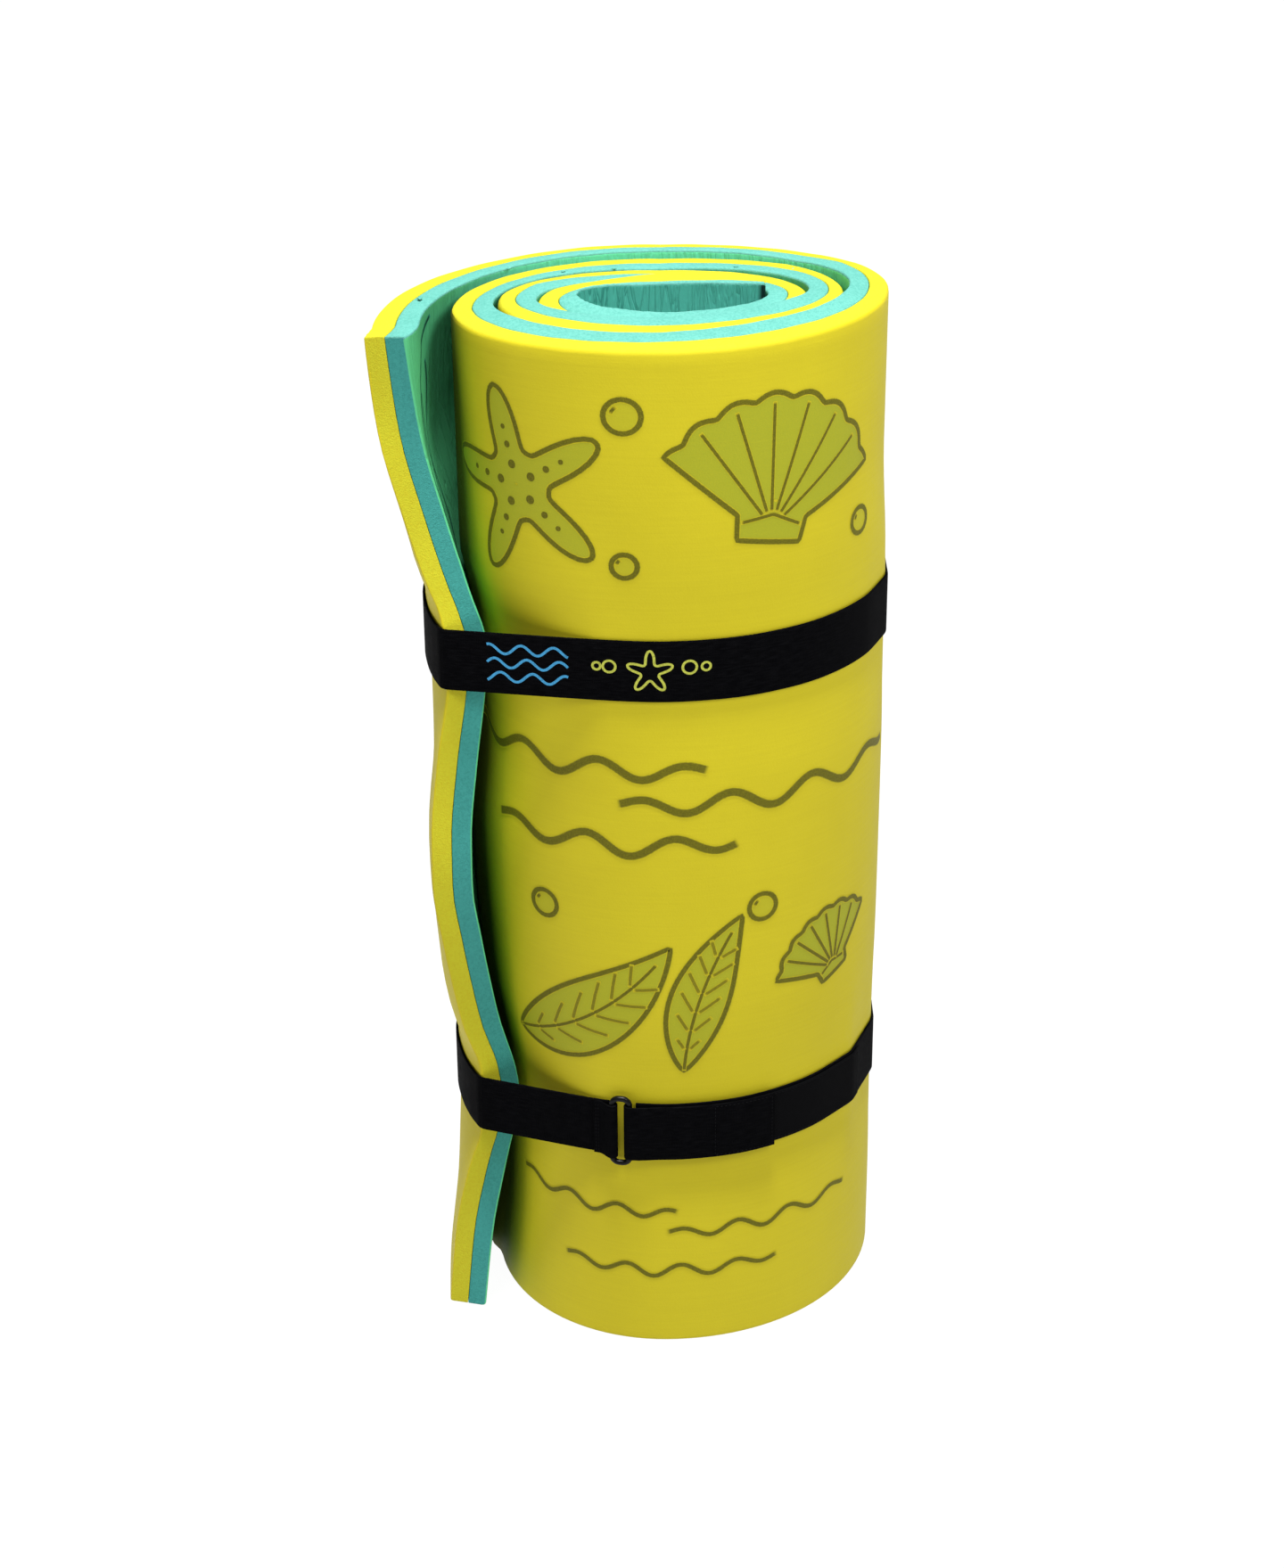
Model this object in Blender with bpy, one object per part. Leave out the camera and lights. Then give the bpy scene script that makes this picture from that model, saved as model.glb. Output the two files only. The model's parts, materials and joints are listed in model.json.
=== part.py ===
"""Rolled swim float mat: a two-ply foam mat on end, held by two elastic straps with ring and hook-and-loop ends.

The mat is one spiral of foam, wound as half ovals whose centres alternate, and its last half turn is a loose flap.
Each strap runs over the convex outline of the roll at its own height, so it bridges from the flap to the roll.
"""
import math

import bmesh
import bpy
from mathutils import Vector

# Mat: a sheet of two bonded plies, rolled up and stood on end
MAT_WIDTH = 0.914
LAYER = 0.033
BOND_GAP = 0.00035
TURN_GAP = 0.0006
PITCH = LAYER + TURN_GAP

# Plan of the roll, measured from the centre of its round front
CENTRE_X = -0.0105
CORE_HALF_LEFT = 0.0635
CORE_HALF_RIGHT = 0.0675
CORE_FRONT_Y = -0.075
CORE_BACK_Y = -0.040
LEFT_DRIFT_FOOT = 0.0375
LEFT_DRIFT_TOP = -0.0125
RIGHT_DRIFT_FOOT = 0.030
RIGHT_DRIFT_TOP = 0.010
RIGHT_PULL = 0.004
RIGHT_PULL_HEIGHT = 0.140
LEFT_REST_GAP = 0.002

# Loose flap: its middle line where it is pinched, and how much further out it is at full flare
BACK_GAP_PINCHED = 0.001
BACK_GAP_FLARE = 0.006
FLAP_HALF_WIDTH = 0.1665
FLAP_HALF_FLARE = 0.0445
FLAP_TURN_DROP = 0.045
FLAP_END_X = -0.152
FLAP_END_FLARE = -0.070
FLAP_END_Y = -0.124
FLAP_END_DEEPER = -0.019

# Shares of flare of the flap at each row of the mesh, foot to top: its end, its side, and its end's depth
FLARE_SHARES = (
    (0.51, 0.30, 0.4),
    (0.35, 0.06, 0.1),
    (0.06, -0.04, -0.2),
    (0.05, -0.01, -0.1),
    (0.47, 0.32, 1.4),
    (0.24, 0.16, 1.1),
    (0.28, 0.24, 1.0),
    (0.76, 0.77, 0.9),
    (1.05, 0.88, 1.25),
)

# Where the top edge stands up or sinks: half turns from the core, then layers at the inner and the outer face
EDGE_RISE_SHARES = (
    (-0.5, 0.22, 0.22),
    (0.0, 0.15, 0.08),
    (0.5, -0.09, -0.12),
    (1.0, -0.19, -0.19),
    (1.5, -0.05, -0.05),
    (2.0, -0.07, -0.10),
    (3.0, 0.05, 0.05),
    (3.5, 0.03, 0.0),
    (4.0, -0.14, -0.20),
    (5.0, 0.0, 0.0),
    (6.0, -0.04, -0.20),
    (7.0, 0.0, -0.12),
)

# Straps: webbing, the heights of their centre lines, and the angles round the roll where their rings sit
STRAP_WIDTH = 0.0525
STRAP_THICKNESS = 0.002
SEAT = 0.0003
UPPER_STRAP_Z = 0.6485
LOWER_STRAP_Z = 0.2190
UPPER_RING_ANGLE = math.radians(82)
LOWER_RING_ANGLE = math.radians(248)
STRAP_ROW_MARGIN = 0.0035
PLAN_CENTRE = Vector((0.0, -0.050))

# Ring that joins the two ends of a strap
RING_WIDTH = 0.020
RING_HEIGHT = 0.069
RING_BAR = 0.005
RING_CORNER = 0.0055

# Sewn hem and free tail of a strap, and their hook and loop patches, measured along it from the ring's middle
HEM_FLAT_START = 0.019
HEM_END = 0.0235
TAIL_FLAT_START = 0.036
TAIL_END = 0.130
LOOP_START = 0.050
LOOP_END = 0.236
LOOP_THICKNESS = 0.0012
HOOK_START = 0.076
HOOK_END = 0.127
HOOK_THICKNESS = 0.001
PATCH_INSET = 0.002

# Mesh steps
STEPS = 9
FLAP_STEPS = 5
WRAP_STEPS = 8
CORNER_STEPS = 3
BAR_SIDES = 10


def plain_material(name, colour, roughness):
    """A Principled material with one base colour."""
    made = bpy.data.materials.new(name)
    made.use_nodes = True
    shader = made.node_tree.nodes["Principled BSDF"]
    shader.inputs["Base Color"].default_value = (*colour, 1.0)
    shader.inputs["Roughness"].default_value = roughness
    shader.inputs["Metallic"].default_value = 0.0
    return made


def yellow_foam():
    return plain_material("yellow_foam", (0.74, 0.62, 0.03), 0.75)


def teal_foam():
    return plain_material("teal_foam", (0.10, 0.50, 0.44), 0.75)


def black_webbing():
    return plain_material("black_webbing", (0.010, 0.010, 0.012), 0.65)


def black_plastic():
    return plain_material("black_plastic", (0.006, 0.006, 0.007), 0.22)


def hook_tape():
    return plain_material("hook_tape", (0.012, 0.012, 0.013), 0.55)


def loop_tape():
    return plain_material("loop_tape", (0.014, 0.014, 0.016), 0.95)


def new_object(name, verts, faces, made_material, origin=None):
    """A mesh object with outward normals, its origin at the given point."""
    start = origin or Vector((0.0, 0.0, 0.0))
    mesh = bpy.data.meshes.new(name)
    mesh.from_pydata([Vector(v) - start for v in verts], [], faces)
    shape = bmesh.new()
    shape.from_mesh(mesh)
    bmesh.ops.recalc_face_normals(shape, faces=shape.faces)
    shape.to_mesh(mesh)
    shape.free()
    mesh.materials.append(made_material)
    made = bpy.data.objects.new(name, mesh)
    made.location = start
    bpy.context.scene.collection.objects.link(made)
    return made


def strap_edges(strap_z):
    """Heights of the two mesh rows just below and above a strap."""
    half = STRAP_WIDTH / 2 + STRAP_ROW_MARGIN
    return strap_z - half, strap_z + half


def row_heights():
    """Heights of the mesh rows from the foot to the top."""
    low, high = strap_edges(LOWER_STRAP_Z)
    upper_low, upper_high = strap_edges(UPPER_STRAP_Z)
    below = low / 2
    between = (high + upper_low) / 2
    above = (upper_high + MAT_WIDTH) / 2
    return (0.0, below, low, high, between, upper_low, upper_high, above, MAT_WIDTH)


def drifted(foot, top, outward, z):
    """How far back the widest place of a half oval lies from the core's; outward is 1 for the outermost turn."""
    return (foot + (top - foot) * z / MAT_WIDTH) * outward


def left_centre_y(outward, z):
    """Depth of the widest place of a left half oval."""
    return (CORE_FRONT_Y + CORE_BACK_Y) / 2 + drifted(LEFT_DRIFT_FOOT, LEFT_DRIFT_TOP, outward, z)


def flap_reach(row):
    """How far the flap's inner face stands left of the roll's centre."""
    return FLAP_HALF_WIDTH + FLAP_HALF_FLARE * FLARE_SHARES[row][1] - LAYER / 2


def back_gap(row):
    """Gap at the back between the flap and the turn inside it."""
    return BACK_GAP_PINCHED + BACK_GAP_FLARE * FLARE_SHARES[row][0]


def left_point(level, angle, row, z):
    """A point of a left half oval; level counts layers out from the core's wall."""
    outward = (level / 3) ** 2
    squeeze = max(0.0, CORE_HALF_LEFT + PITCH * 3 + LEFT_REST_GAP - flap_reach(row))
    across = CORE_HALF_LEFT + PITCH * level - squeeze * outward
    return oval_point(across, level, 0.0, left_centre_y(outward, z), angle)


def right_pull(level, z):
    """How far the right side is drawn in above the upper strap, which keeps the roll from spreading there."""
    rise = min(max((z - UPPER_STRAP_Z) / RIGHT_PULL_HEIGHT, 0.0), 1.0)
    return RIGHT_PULL * rise * rise * (3 - 2 * rise) * level / 3


def right_point(level, angle, z):
    """A point of a right half oval, which lies half a layer further back than the left ones."""
    outward = (level / 3) ** 2
    across = CORE_HALF_RIGHT + PITCH * level - right_pull(level, z)
    middle = (CORE_FRONT_Y + CORE_BACK_Y + PITCH) / 2 + drifted(RIGHT_DRIFT_FOOT, RIGHT_DRIFT_TOP, outward, z)
    return oval_point(across, level, PITCH / 2, middle, angle)


def oval_point(across, level, back_step, middle, angle):
    """A point of an oval given by its half width, its widest place, and how far its layer is from the core."""
    if math.sin(angle) > 0:
        deep = CORE_BACK_Y + PITCH * level + back_step - middle
    else:
        deep = middle - CORE_FRONT_Y + PITCH * level - back_step
    return Vector((CENTRE_X + across * math.cos(angle), middle + deep * math.sin(angle)))


def wedge_columns(z):
    """The straight inner end of the mat, pressed to a wedge under the first turn."""
    columns = []
    for step in range(STEPS // 2, 0, -1):
        angle = math.pi / 2 - math.pi * step / STEPS
        roof = right_point(1 / 2, angle, z) - Vector((TURN_GAP * math.cos(angle), TURN_GAP))
        columns.append((Vector((roof.x, CORE_BACK_Y)), roof, -step / STEPS))
    return columns


def wound_columns(row, z):
    """The closely wound turns: three left and three right half ovals in turn."""
    columns = []
    shell = LAYER / PITCH
    for step in range(STEPS * 6):
        half_turn = step / STEPS
        level = (step // STEPS) / 2
        angle = math.pi / 2 + math.pi * half_turn
        if step // STEPS % 2:
            inner, outer = right_point(level, angle, z), right_point(level + shell, angle, z)
        else:
            inner, outer = left_point(level, angle, row, z), left_point(level + shell, angle, row, z)
        if step > STEPS * 11 // 2:
            aside = Vector((0.0, back_gap(row) * math.sin(angle)))
            inner, outer = inner + aside, outer + aside
        columns.append((inner, outer, half_turn))
    return columns


def flap_columns(row, z):
    """The loose last half turn: a quarter oval behind the roll, then a curve to the free end."""
    reach = flap_reach(row)
    over = max(0.0, 2 * FLARE_SHARES[row][0] - 1)
    turn_y = left_centre_y(1, z) - FLAP_TURN_DROP * over ** (3 / 2)
    back_y = CORE_BACK_Y + PITCH * 3 + back_gap(row)
    inner = []
    for step in range(STEPS // 2 + 1):
        angle = math.pi / 2 + math.pi * step / STEPS
        inner.append(Vector((CENTRE_X + reach * math.cos(angle), turn_y + (back_y - turn_y) * math.sin(angle))))
    left_x = CENTRE_X - reach
    end_x = FLAP_END_X + FLAP_END_FLARE * FLARE_SHARES[row][0] + LAYER / 2
    end_y = FLAP_END_Y + FLAP_END_DEEPER * FLARE_SHARES[row][2] + LAYER / 4
    for step in range(FLAP_STEPS + 1):
        t = step / FLAP_STEPS
        inner.append(Vector((left_x + (end_x - left_x) * t * t, turn_y + (end_y - turn_y) * t)))
    columns = []
    for i, point in enumerate(inner):
        step = inner[min(i + 1, len(inner) - 1)] - inner[max(i - 1, 0)]
        outward = Vector((0.0, 1.0)) if i == 0 else Vector((step.y, -step.x)).normalized()
        columns.append((point, point + outward * LAYER, 6 + i / (len(inner) - 1)))
    return columns


def mat_columns(row, z):
    """Inner and outer point of every column of a row, from the core to the free end."""
    return wedge_columns(z) + wound_columns(row, z) + flap_columns(row, z)


def edge_rise(half_turn, face):
    """How far the top edge stands above the sheet's width at a place along the mat."""
    for low, high in zip(EDGE_RISE_SHARES, EDGE_RISE_SHARES[1:]):
        if half_turn <= high[0]:
            t = (half_turn - low[0]) / (high[0] - low[0])
            return LAYER * (low[face] + (high[face] - low[face]) * t)
    return LAYER * EDGE_RISE_SHARES[-1][face]


def ply_points(ply):
    """Rows of columns of the two faces of a ply; ply 0 is the inner one."""
    rows = []
    for row, z in enumerate(row_heights()):
        points = []
        for inner, outer, half_turn in mat_columns(row, z):
            middle = (inner + outer) / 2
            aside = (outer - inner).normalized() * BOND_GAP / 2
            pair = (middle + aside, outer) if ply else (inner, middle - aside)
            heights = [z, z]
            if z == MAT_WIDTH:
                near, far = edge_rise(half_turn, 1), edge_rise(half_turn, 2)
                halfway = (near + far) / 2
                rises = (halfway, far) if ply else (near, halfway)
                heights = [z + rise for rise in rises]
            points.append([(p.x, p.y, h) for p, h in zip(pair, heights)])
        rows.append(points)
    return rows


def sheet_solid(rows):
    """Vertices and faces of a closed sheet given as rows of columns of near and far points."""
    verts = [point for points in rows for pair in points for point in pair]
    wide = len(rows[0])

    def at(row, column, face):
        return (row * wide + column) * 2 + face

    faces = []
    for row in range(len(rows) - 1):
        for column in range(wide - 1):
            for face in (0, 1):
                faces.append((at(row, column, face), at(row, column + 1, face),
                              at(row + 1, column + 1, face), at(row + 1, column, face)))
        for column in (0, wide - 1):
            faces.append((at(row, column, 0), at(row, column, 1), at(row + 1, column, 1), at(row + 1, column, 0)))
    for row in (0, len(rows) - 1):
        for column in range(wide - 1):
            faces.append((at(row, column, 0), at(row, column + 1, 0), at(row, column + 1, 1), at(row, column, 1)))
    return verts, faces


def mat_ply(name, ply, made_material):
    """One ply of the rolled mat."""
    verts, faces = sheet_solid(ply_points(ply))
    return new_object(name, verts, faces, made_material)


def convex_outline(points):
    """Convex hull of plan points, counter-clockwise."""
    ordered = sorted((p.x, p.y) for p in points)
    chains = []
    for source in (ordered, ordered[::-1]):
        chain = []
        for p in source:
            while len(chain) > 1 and turn(chain[-2], chain[-1], p) <= 0:
                chain.pop()
            chain.append(p)
        chains.append(chain[:-1])
    return [Vector(p) for p in chains[0] + chains[1]]


def turn(a, b, c):
    """Twice the signed area of a triangle of plan points."""
    return (b[0] - a[0]) * (c[1] - a[1]) - (b[1] - a[1]) * (c[0] - a[0])


class Outline:
    """Convex outline of the roll under a strap; places on it are lengths from the middle of the strap's ring."""

    def __init__(self, strap_z, ring_angle):
        heights = row_heights()
        points = []
        for edge in strap_edges(strap_z):
            row = heights.index(edge)
            points += [outer for inner, outer, half_turn in mat_columns(row, edge)]
        self.corners = convex_outline(points)
        self.count = len(self.corners)
        ray = Vector((math.cos(ring_angle), math.sin(ring_angle)))
        self.places = self.measure(ray)

    def measure(self, ray):
        """Place of every corner, with zero where the ray from the plan's centre leaves the outline."""
        places = [0.0]
        for i in range(self.count):
            places.append(places[-1] + (self.corners[(i + 1) % self.count] - self.corners[i]).length)
        self.length = places[-1]
        for i in range(self.count):
            low, high = self.corners[i] - PLAN_CENTRE, self.corners[(i + 1) % self.count] - PLAN_CENTRE
            before, after = low.cross(ray), high.cross(ray)
            if before > 0 >= after and low.dot(ray) > 0:
                zero = places[i] + (places[i + 1] - places[i]) * before / (before - after)
        return [place - zero for place in places[:-1]]

    def side(self, place):
        """Index of the side that holds a place, and how far along it the place lies."""
        best = max(range(self.count), key=lambda i: -((place - self.places[i]) % self.length))
        return best, (place - self.places[best]) % self.length

    def along(self, index):
        """Unit direction of a side."""
        return (self.corners[(index + 1) % self.count] - self.corners[index]).normalized()

    def frame(self, place):
        """Point, direction and outward normal at a place."""
        index, far = self.side(place)
        step = self.along(index)
        return self.corners[index] + step * far, step, Vector((step.y, -step.x))

    def stations(self, start, end):
        """Places from start to end, with every corner between them, and the miter vector at each."""
        found = [(start, self.frame(start)[0], self.frame(start)[2])]
        between = []
        for i in range(self.count):
            lap = self.places[i] + self.length * math.ceil((start - self.places[i]) / self.length)
            while lap < end:
                if lap > start:
                    before, after = self.along(i - 1), self.along(i)
                    sum_normal = Vector((before.y + after.y, -before.x - after.x))
                    between.append((lap, self.corners[i], sum_normal / (1 + before.dot(after))))
                lap += self.length
        found += sorted(between, key=lambda item: item[0])
        found.append((end, self.frame(end)[0], self.frame(end)[2]))
        return found

    def run(self, start, end, low_start, low_end, thickness):
        """Pairs of near and far plan points of a strip whose height over the outline changes evenly."""
        pairs = []
        for place, point, miter in self.stations(start, end):
            t = (place - start) / (end - start)
            low = low_start + (low_end - low_start) * t
            pairs.append((point + miter * low, point + miter * (low + thickness)))
        return pairs


def bar_height():
    """Height of the ring's bar centres over the outline."""
    return SEAT + STRAP_THICKNESS + wrap_radius()


def wrap_radius():
    """Radius of the inner face of webbing that is folded round a bar."""
    return (RING_BAR / 2 + SEAT) / math.cos(math.pi / 2 / WRAP_STEPS)


def bar_reach():
    """Distance of each upright bar's centre from the middle of the ring."""
    return (RING_WIDTH - RING_BAR) / 2


def fold(outline, side):
    """Pairs of plan points of webbing folded round a bar, from under it to over it; side -1 is the sewn end."""
    point, step, outward = outline.frame(0.0)
    centre = point + step * bar_reach() * side + outward * bar_height()
    pairs = []
    for i in range(WRAP_STEPS + 1):
        angle = math.pi * i / WRAP_STEPS
        ray = step * -side * math.sin(angle) - outward * math.cos(angle)
        pairs.append((centre + ray * wrap_radius(), centre + ray * (wrap_radius() + STRAP_THICKNESS)))
    return pairs


def strip_object(name, pairs, strap_z, width, made_material, origin=None):
    """A strip of constant width that stands on edge along plan points."""
    rows = []
    for z in (strap_z - width / 2, strap_z + width / 2):
        rows.append([[(p.x, p.y, z) for p in pair] for pair in pairs])
    verts, faces = sheet_solid(rows)
    return new_object(name, verts, faces, made_material, origin)


def strap_band(name, outline, strap_z, made_material):
    """The length round the roll, from under the tail's fold to the sewn hem over the ring's first bar."""
    thick = STRAP_THICKNESS
    clear = math.sqrt((wrap_radius() + thick) ** 2 - wrap_radius() ** 2) + 2 * SEAT
    top = bar_height() + wrap_radius()
    hem_low = SEAT * 2 + thick
    under = outline.run(bar_reach() + clear, outline.length - bar_reach(), SEAT, SEAT, thick)
    under = [(far, near) for near, far in under]
    back = outline.run(-HEM_FLAT_START, -bar_reach(), hem_low, top, thick)[::-1]
    flat = outline.run(-HEM_END, -HEM_FLAT_START, hem_low, hem_low, thick)[::-1]
    pairs = under + fold(outline, -1)[1:] + back[1:] + flat[1:]
    return strip_object(name, pairs, strap_z, STRAP_WIDTH, made_material)


def strap_tail(name, outline, strap_z, made_material, origin):
    """The free end: a fold round the ring's second bar and the flap that lies over the hook and loop."""
    top = bar_height() + wrap_radius()
    low = tail_height()
    drop = outline.run(bar_reach(), TAIL_FLAT_START, top, low, STRAP_THICKNESS)
    flat = outline.run(TAIL_FLAT_START, TAIL_END, low, low, STRAP_THICKNESS)
    pairs = fold(outline, 1) + drop[1:] + flat[1:]
    return strip_object(name, pairs, strap_z, STRAP_WIDTH, made_material, origin)


def loop_height():
    """Height of the loop patch over the outline."""
    return SEAT * 2 + STRAP_THICKNESS


def hook_height():
    """Height of the hook patch over the outline."""
    return loop_height() + LOOP_THICKNESS + SEAT


def tail_height():
    """Height of the tail over the outline where it lies on the hook patch."""
    return hook_height() + HOOK_THICKNESS + SEAT


def loop_patch(name, outline, strap_z, made_material):
    """Soft half of the closure, sewn on the band."""
    pairs = outline.run(LOOP_START, LOOP_END, loop_height(), loop_height(), LOOP_THICKNESS)
    return strip_object(name, pairs, strap_z, STRAP_WIDTH - 2 * PATCH_INSET, made_material)


def hook_patch(name, outline, strap_z, made_material, origin):
    """Hooked half of the closure, sewn under the tail."""
    pairs = outline.run(HOOK_START, HOOK_END, hook_height(), hook_height(), HOOK_THICKNESS)
    return strip_object(name, pairs, strap_z, STRAP_WIDTH - 2 * PATCH_INSET, made_material, origin)


def ring_path():
    """Centre line of the ring's bar as places along the strap and heights, counter-clockwise."""
    half_wide = bar_reach()
    half_high = (RING_HEIGHT - RING_BAR) / 2
    path = []
    for quarter in range(4):
        turned = math.pi / 2 * quarter
        across = 1 if quarter in (0, 3) else -1
        upward = 1 if quarter < 2 else -1
        for i in range(CORNER_STEPS + 1):
            angle = turned + math.pi / 2 * i / CORNER_STEPS
            path.append((across * (half_wide - RING_CORNER) + RING_CORNER * math.cos(angle),
                         upward * (half_high - RING_CORNER) + RING_CORNER * math.sin(angle)))
    return path


def strap_ring(name, outline, strap_z, made_material, origin):
    """Rectangular ring of round bar with rounded corners."""
    point, step, outward = outline.frame(0.0)
    middle = point + outward * bar_height()
    base = Vector((middle.x, middle.y, strap_z))
    sideways = Vector((step.x, step.y, 0.0))
    out = Vector((outward.x, outward.y, 0.0))
    up = Vector((0.0, 0.0, 1.0))
    path = [base + sideways * u + up * v for u, v in ring_path()]
    verts = []
    for i, place in enumerate(path):
        onward = (path[(i + 1) % len(path)] - path[i - 1]).normalized()
        aside = onward.cross(out)
        for side in range(BAR_SIDES):
            angle = 2 * math.pi * (side + 1 / 2) / BAR_SIDES
            verts.append(place + (aside * math.cos(angle) + out * math.sin(angle)) * RING_BAR / 2)
    faces = []
    for i in range(len(path)):
        for side in range(BAR_SIDES):
            after, beside = (i + 1) % len(path), (side + 1) % BAR_SIDES
            faces.append((i * BAR_SIDES + side, i * BAR_SIDES + beside,
                          after * BAR_SIDES + beside, after * BAR_SIDES + side))
    return new_object(name, verts, faces, made_material, origin)


def strap(prefix, strap_z, ring_angle, materials):
    """One strap: band, ring, tail, hook patch and loop patch."""
    outline = Outline(strap_z, ring_angle)
    point, step, outward = outline.frame(0.0)
    middle = point + outward * bar_height()
    first, second = middle - step * bar_reach(), middle + step * bar_reach()
    ring_axis = Vector((first.x, first.y, strap_z))
    tail_axis = Vector((second.x, second.y, strap_z))
    webbing, plastic, hooks, loops = materials
    strap_band(prefix + "_strap_band", outline, strap_z, webbing)
    loop_patch(prefix + "_loop_patch", outline, strap_z, loops)
    strap_ring(prefix + "_ring", outline, strap_z, plastic, ring_axis)
    strap_tail(prefix + "_tail", outline, strap_z, webbing, tail_axis)
    hook_patch(prefix + "_hook_patch", outline, strap_z, hooks, tail_axis)


def clear_scene():
    """Start from an empty scene."""
    for old in list(bpy.data.objects):
        bpy.data.objects.remove(old, do_unlink=True)


def centre_plan():
    """Move everything so that the middle of its plan is the origin."""
    bpy.context.view_layer.update()
    points = [o.matrix_world @ v.co for o in bpy.data.objects for v in o.data.vertices]
    xs, ys = [p.x for p in points], [p.y for p in points]
    middle = Vector(((min(xs) + max(xs)) / 2, (min(ys) + max(ys)) / 2, 0.0))
    for made in bpy.data.objects:
        made.location -= middle


def build():
    clear_scene()
    mat_ply("mat_outer_ply", 1, yellow_foam())
    mat_ply("mat_inner_ply", 0, teal_foam())
    materials = (black_webbing(), black_plastic(), hook_tape(), loop_tape())
    strap("upper", UPPER_STRAP_Z, UPPER_RING_ANGLE, materials)
    strap("lower", LOWER_STRAP_Z, LOWER_RING_ANGLE, materials)
    centre_plan()
    bpy.context.view_layer.update()


build()
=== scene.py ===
import json
import math
import random

import bmesh
import bpy
import numpy as np
from mathutils import Matrix, Vector
from numpy.linalg import norm


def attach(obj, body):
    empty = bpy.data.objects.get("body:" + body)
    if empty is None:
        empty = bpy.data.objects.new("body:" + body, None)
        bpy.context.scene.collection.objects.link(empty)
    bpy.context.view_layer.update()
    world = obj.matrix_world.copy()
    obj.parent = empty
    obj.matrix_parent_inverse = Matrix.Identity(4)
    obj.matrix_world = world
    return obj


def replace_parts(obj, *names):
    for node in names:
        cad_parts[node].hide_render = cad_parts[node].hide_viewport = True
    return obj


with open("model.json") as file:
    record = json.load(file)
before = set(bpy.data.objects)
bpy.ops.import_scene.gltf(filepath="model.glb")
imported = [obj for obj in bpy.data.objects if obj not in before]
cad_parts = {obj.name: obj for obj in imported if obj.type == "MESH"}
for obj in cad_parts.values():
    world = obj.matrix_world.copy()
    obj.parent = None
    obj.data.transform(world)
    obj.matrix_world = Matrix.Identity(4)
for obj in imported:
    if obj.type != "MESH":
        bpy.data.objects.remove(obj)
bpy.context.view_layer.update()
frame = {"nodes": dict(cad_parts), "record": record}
random.seed(7)

# The roll's plan frame: its base mount lies this far in front of the plan's centre
MOUNT_IN_PLAN = Vector((-0.00048, -0.16704, 0.0))
PLAN = Vector(frame["record"]["mounts"][0]["pos_m"]) - MOUNT_IN_PLAN
PLAN_XY = np.array((PLAN.x, PLAN.y))
CENTRE = PLAN_XY - (0, 0.05)

# Mat, with the part's own dimensions
H = 0.914
LAYER = 0.033
BOND = 0.00035
TURN_GAP = 0.0006
PITCH = LAYER + TURN_GAP
CENTRE_X = -0.0105
CORE_LEFT, CORE_RIGHT = 0.0635, 0.0675
FRONT_Y, BACK_Y = -0.075, -0.040
CORE_Y = (FRONT_Y + BACK_Y) / 2
LEFT_DRIFT = (0.0375, -0.0125)
RIGHT_DRIFT = (0.030, 0.010)
RIGHT_PULL, PULL_HEIGHT = 0.005, 0.14

# Rounding of the foam's edges: its ends, its top and foot on the inner and the outer face, and the bond
END_ROUND = 0.0013
TOP_ROUNDS, FOOT_ROUNDS = (0.0016, 0.005), (0.0036, 0.0024)
FLAP_ROUND_CHANGE = (0.0, -0.003)
BOND_ROUND = 0.0012

# Flare of the flap over the share of the height: its end, its side, and its end's depth
END_FLARE = (
    (0, 0.51), (0.09, 0.377), (0.16, 0.198), (0.24, 0.006), (0.33, 0.227), (0.375, 0.31), (0.425, 0.39),
    (0.48, 0.467), (0.53, 0.46), (0.6, 0.372), (0.67, 0.251), (0.71, 0.202), (0.77, 0.4), (0.83, 0.612),
    (0.91, 0.86), (1, 1.0))
SIDE_FLARE = (
    (0, 0.298), (0.12, 0.035), (0.24, -0.05), (0.36, 0.23), (0.5, 0.324), (0.6, 0.153), (0.71, 0.173),
    (0.8, 0.469), (0.9, 0.78), (1, 0.80))
END_DEPTH = ((0, 0.4), (0.24, -0.2), (0.5, 1.5), (0.71, 1.0), (0.85, 0.9), (1, 1.25))

# How far the front of the roll's left side is drawn in beside the flap, over the share of the height
LEFT_PULL = ((0, 0.010), (0.2, 0.009), (0.7, 0.0065), (0.9, 0.004), (1, 0.001))

# Angle by which the flap's cut end is turned out of square, over the share of the height
END_TWIST = ((0, -0.30), (0.15, -0.05), (0.25, 0), (0.80, 0), (0.92, 0.06), (1, 0.20))

# Inner face of the flap's end without flare, and how far flare and depth move it
END_X, END_Y = -0.152 + LAYER / 2, -0.124 + LAYER / 4
END_FLARE_REACH, END_DEPTH_REACH = 0.070, 0.019

# Leftmost place of the flap: its reach from the middle, what the flare adds, and how far it comes forward
SIDE_REACH, SIDE_FLARE_REACH = 0.1665 - LAYER / 2, 0.0445
FLARE_FORWARD = 0.036

# Gap between the flap and the turn inside it without flare, and what the flare adds
FLAP_GAP, FLARE_GAP = 0.001, 0.006

# Distances of the flap's last columns from its end, as shares of its free part
CLOSE_TO_END = (0.052, 0.034, 0.018, 0.008, 0.0025, 0)

# How much thicker the top of the flap is than the sheet, over the half turns
END_SWELL = ((6.3, 0), (6.55, 0.0025), (6.75, 0.0045), (6.85, 0.0040), (7.0, -0.0005))

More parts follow.
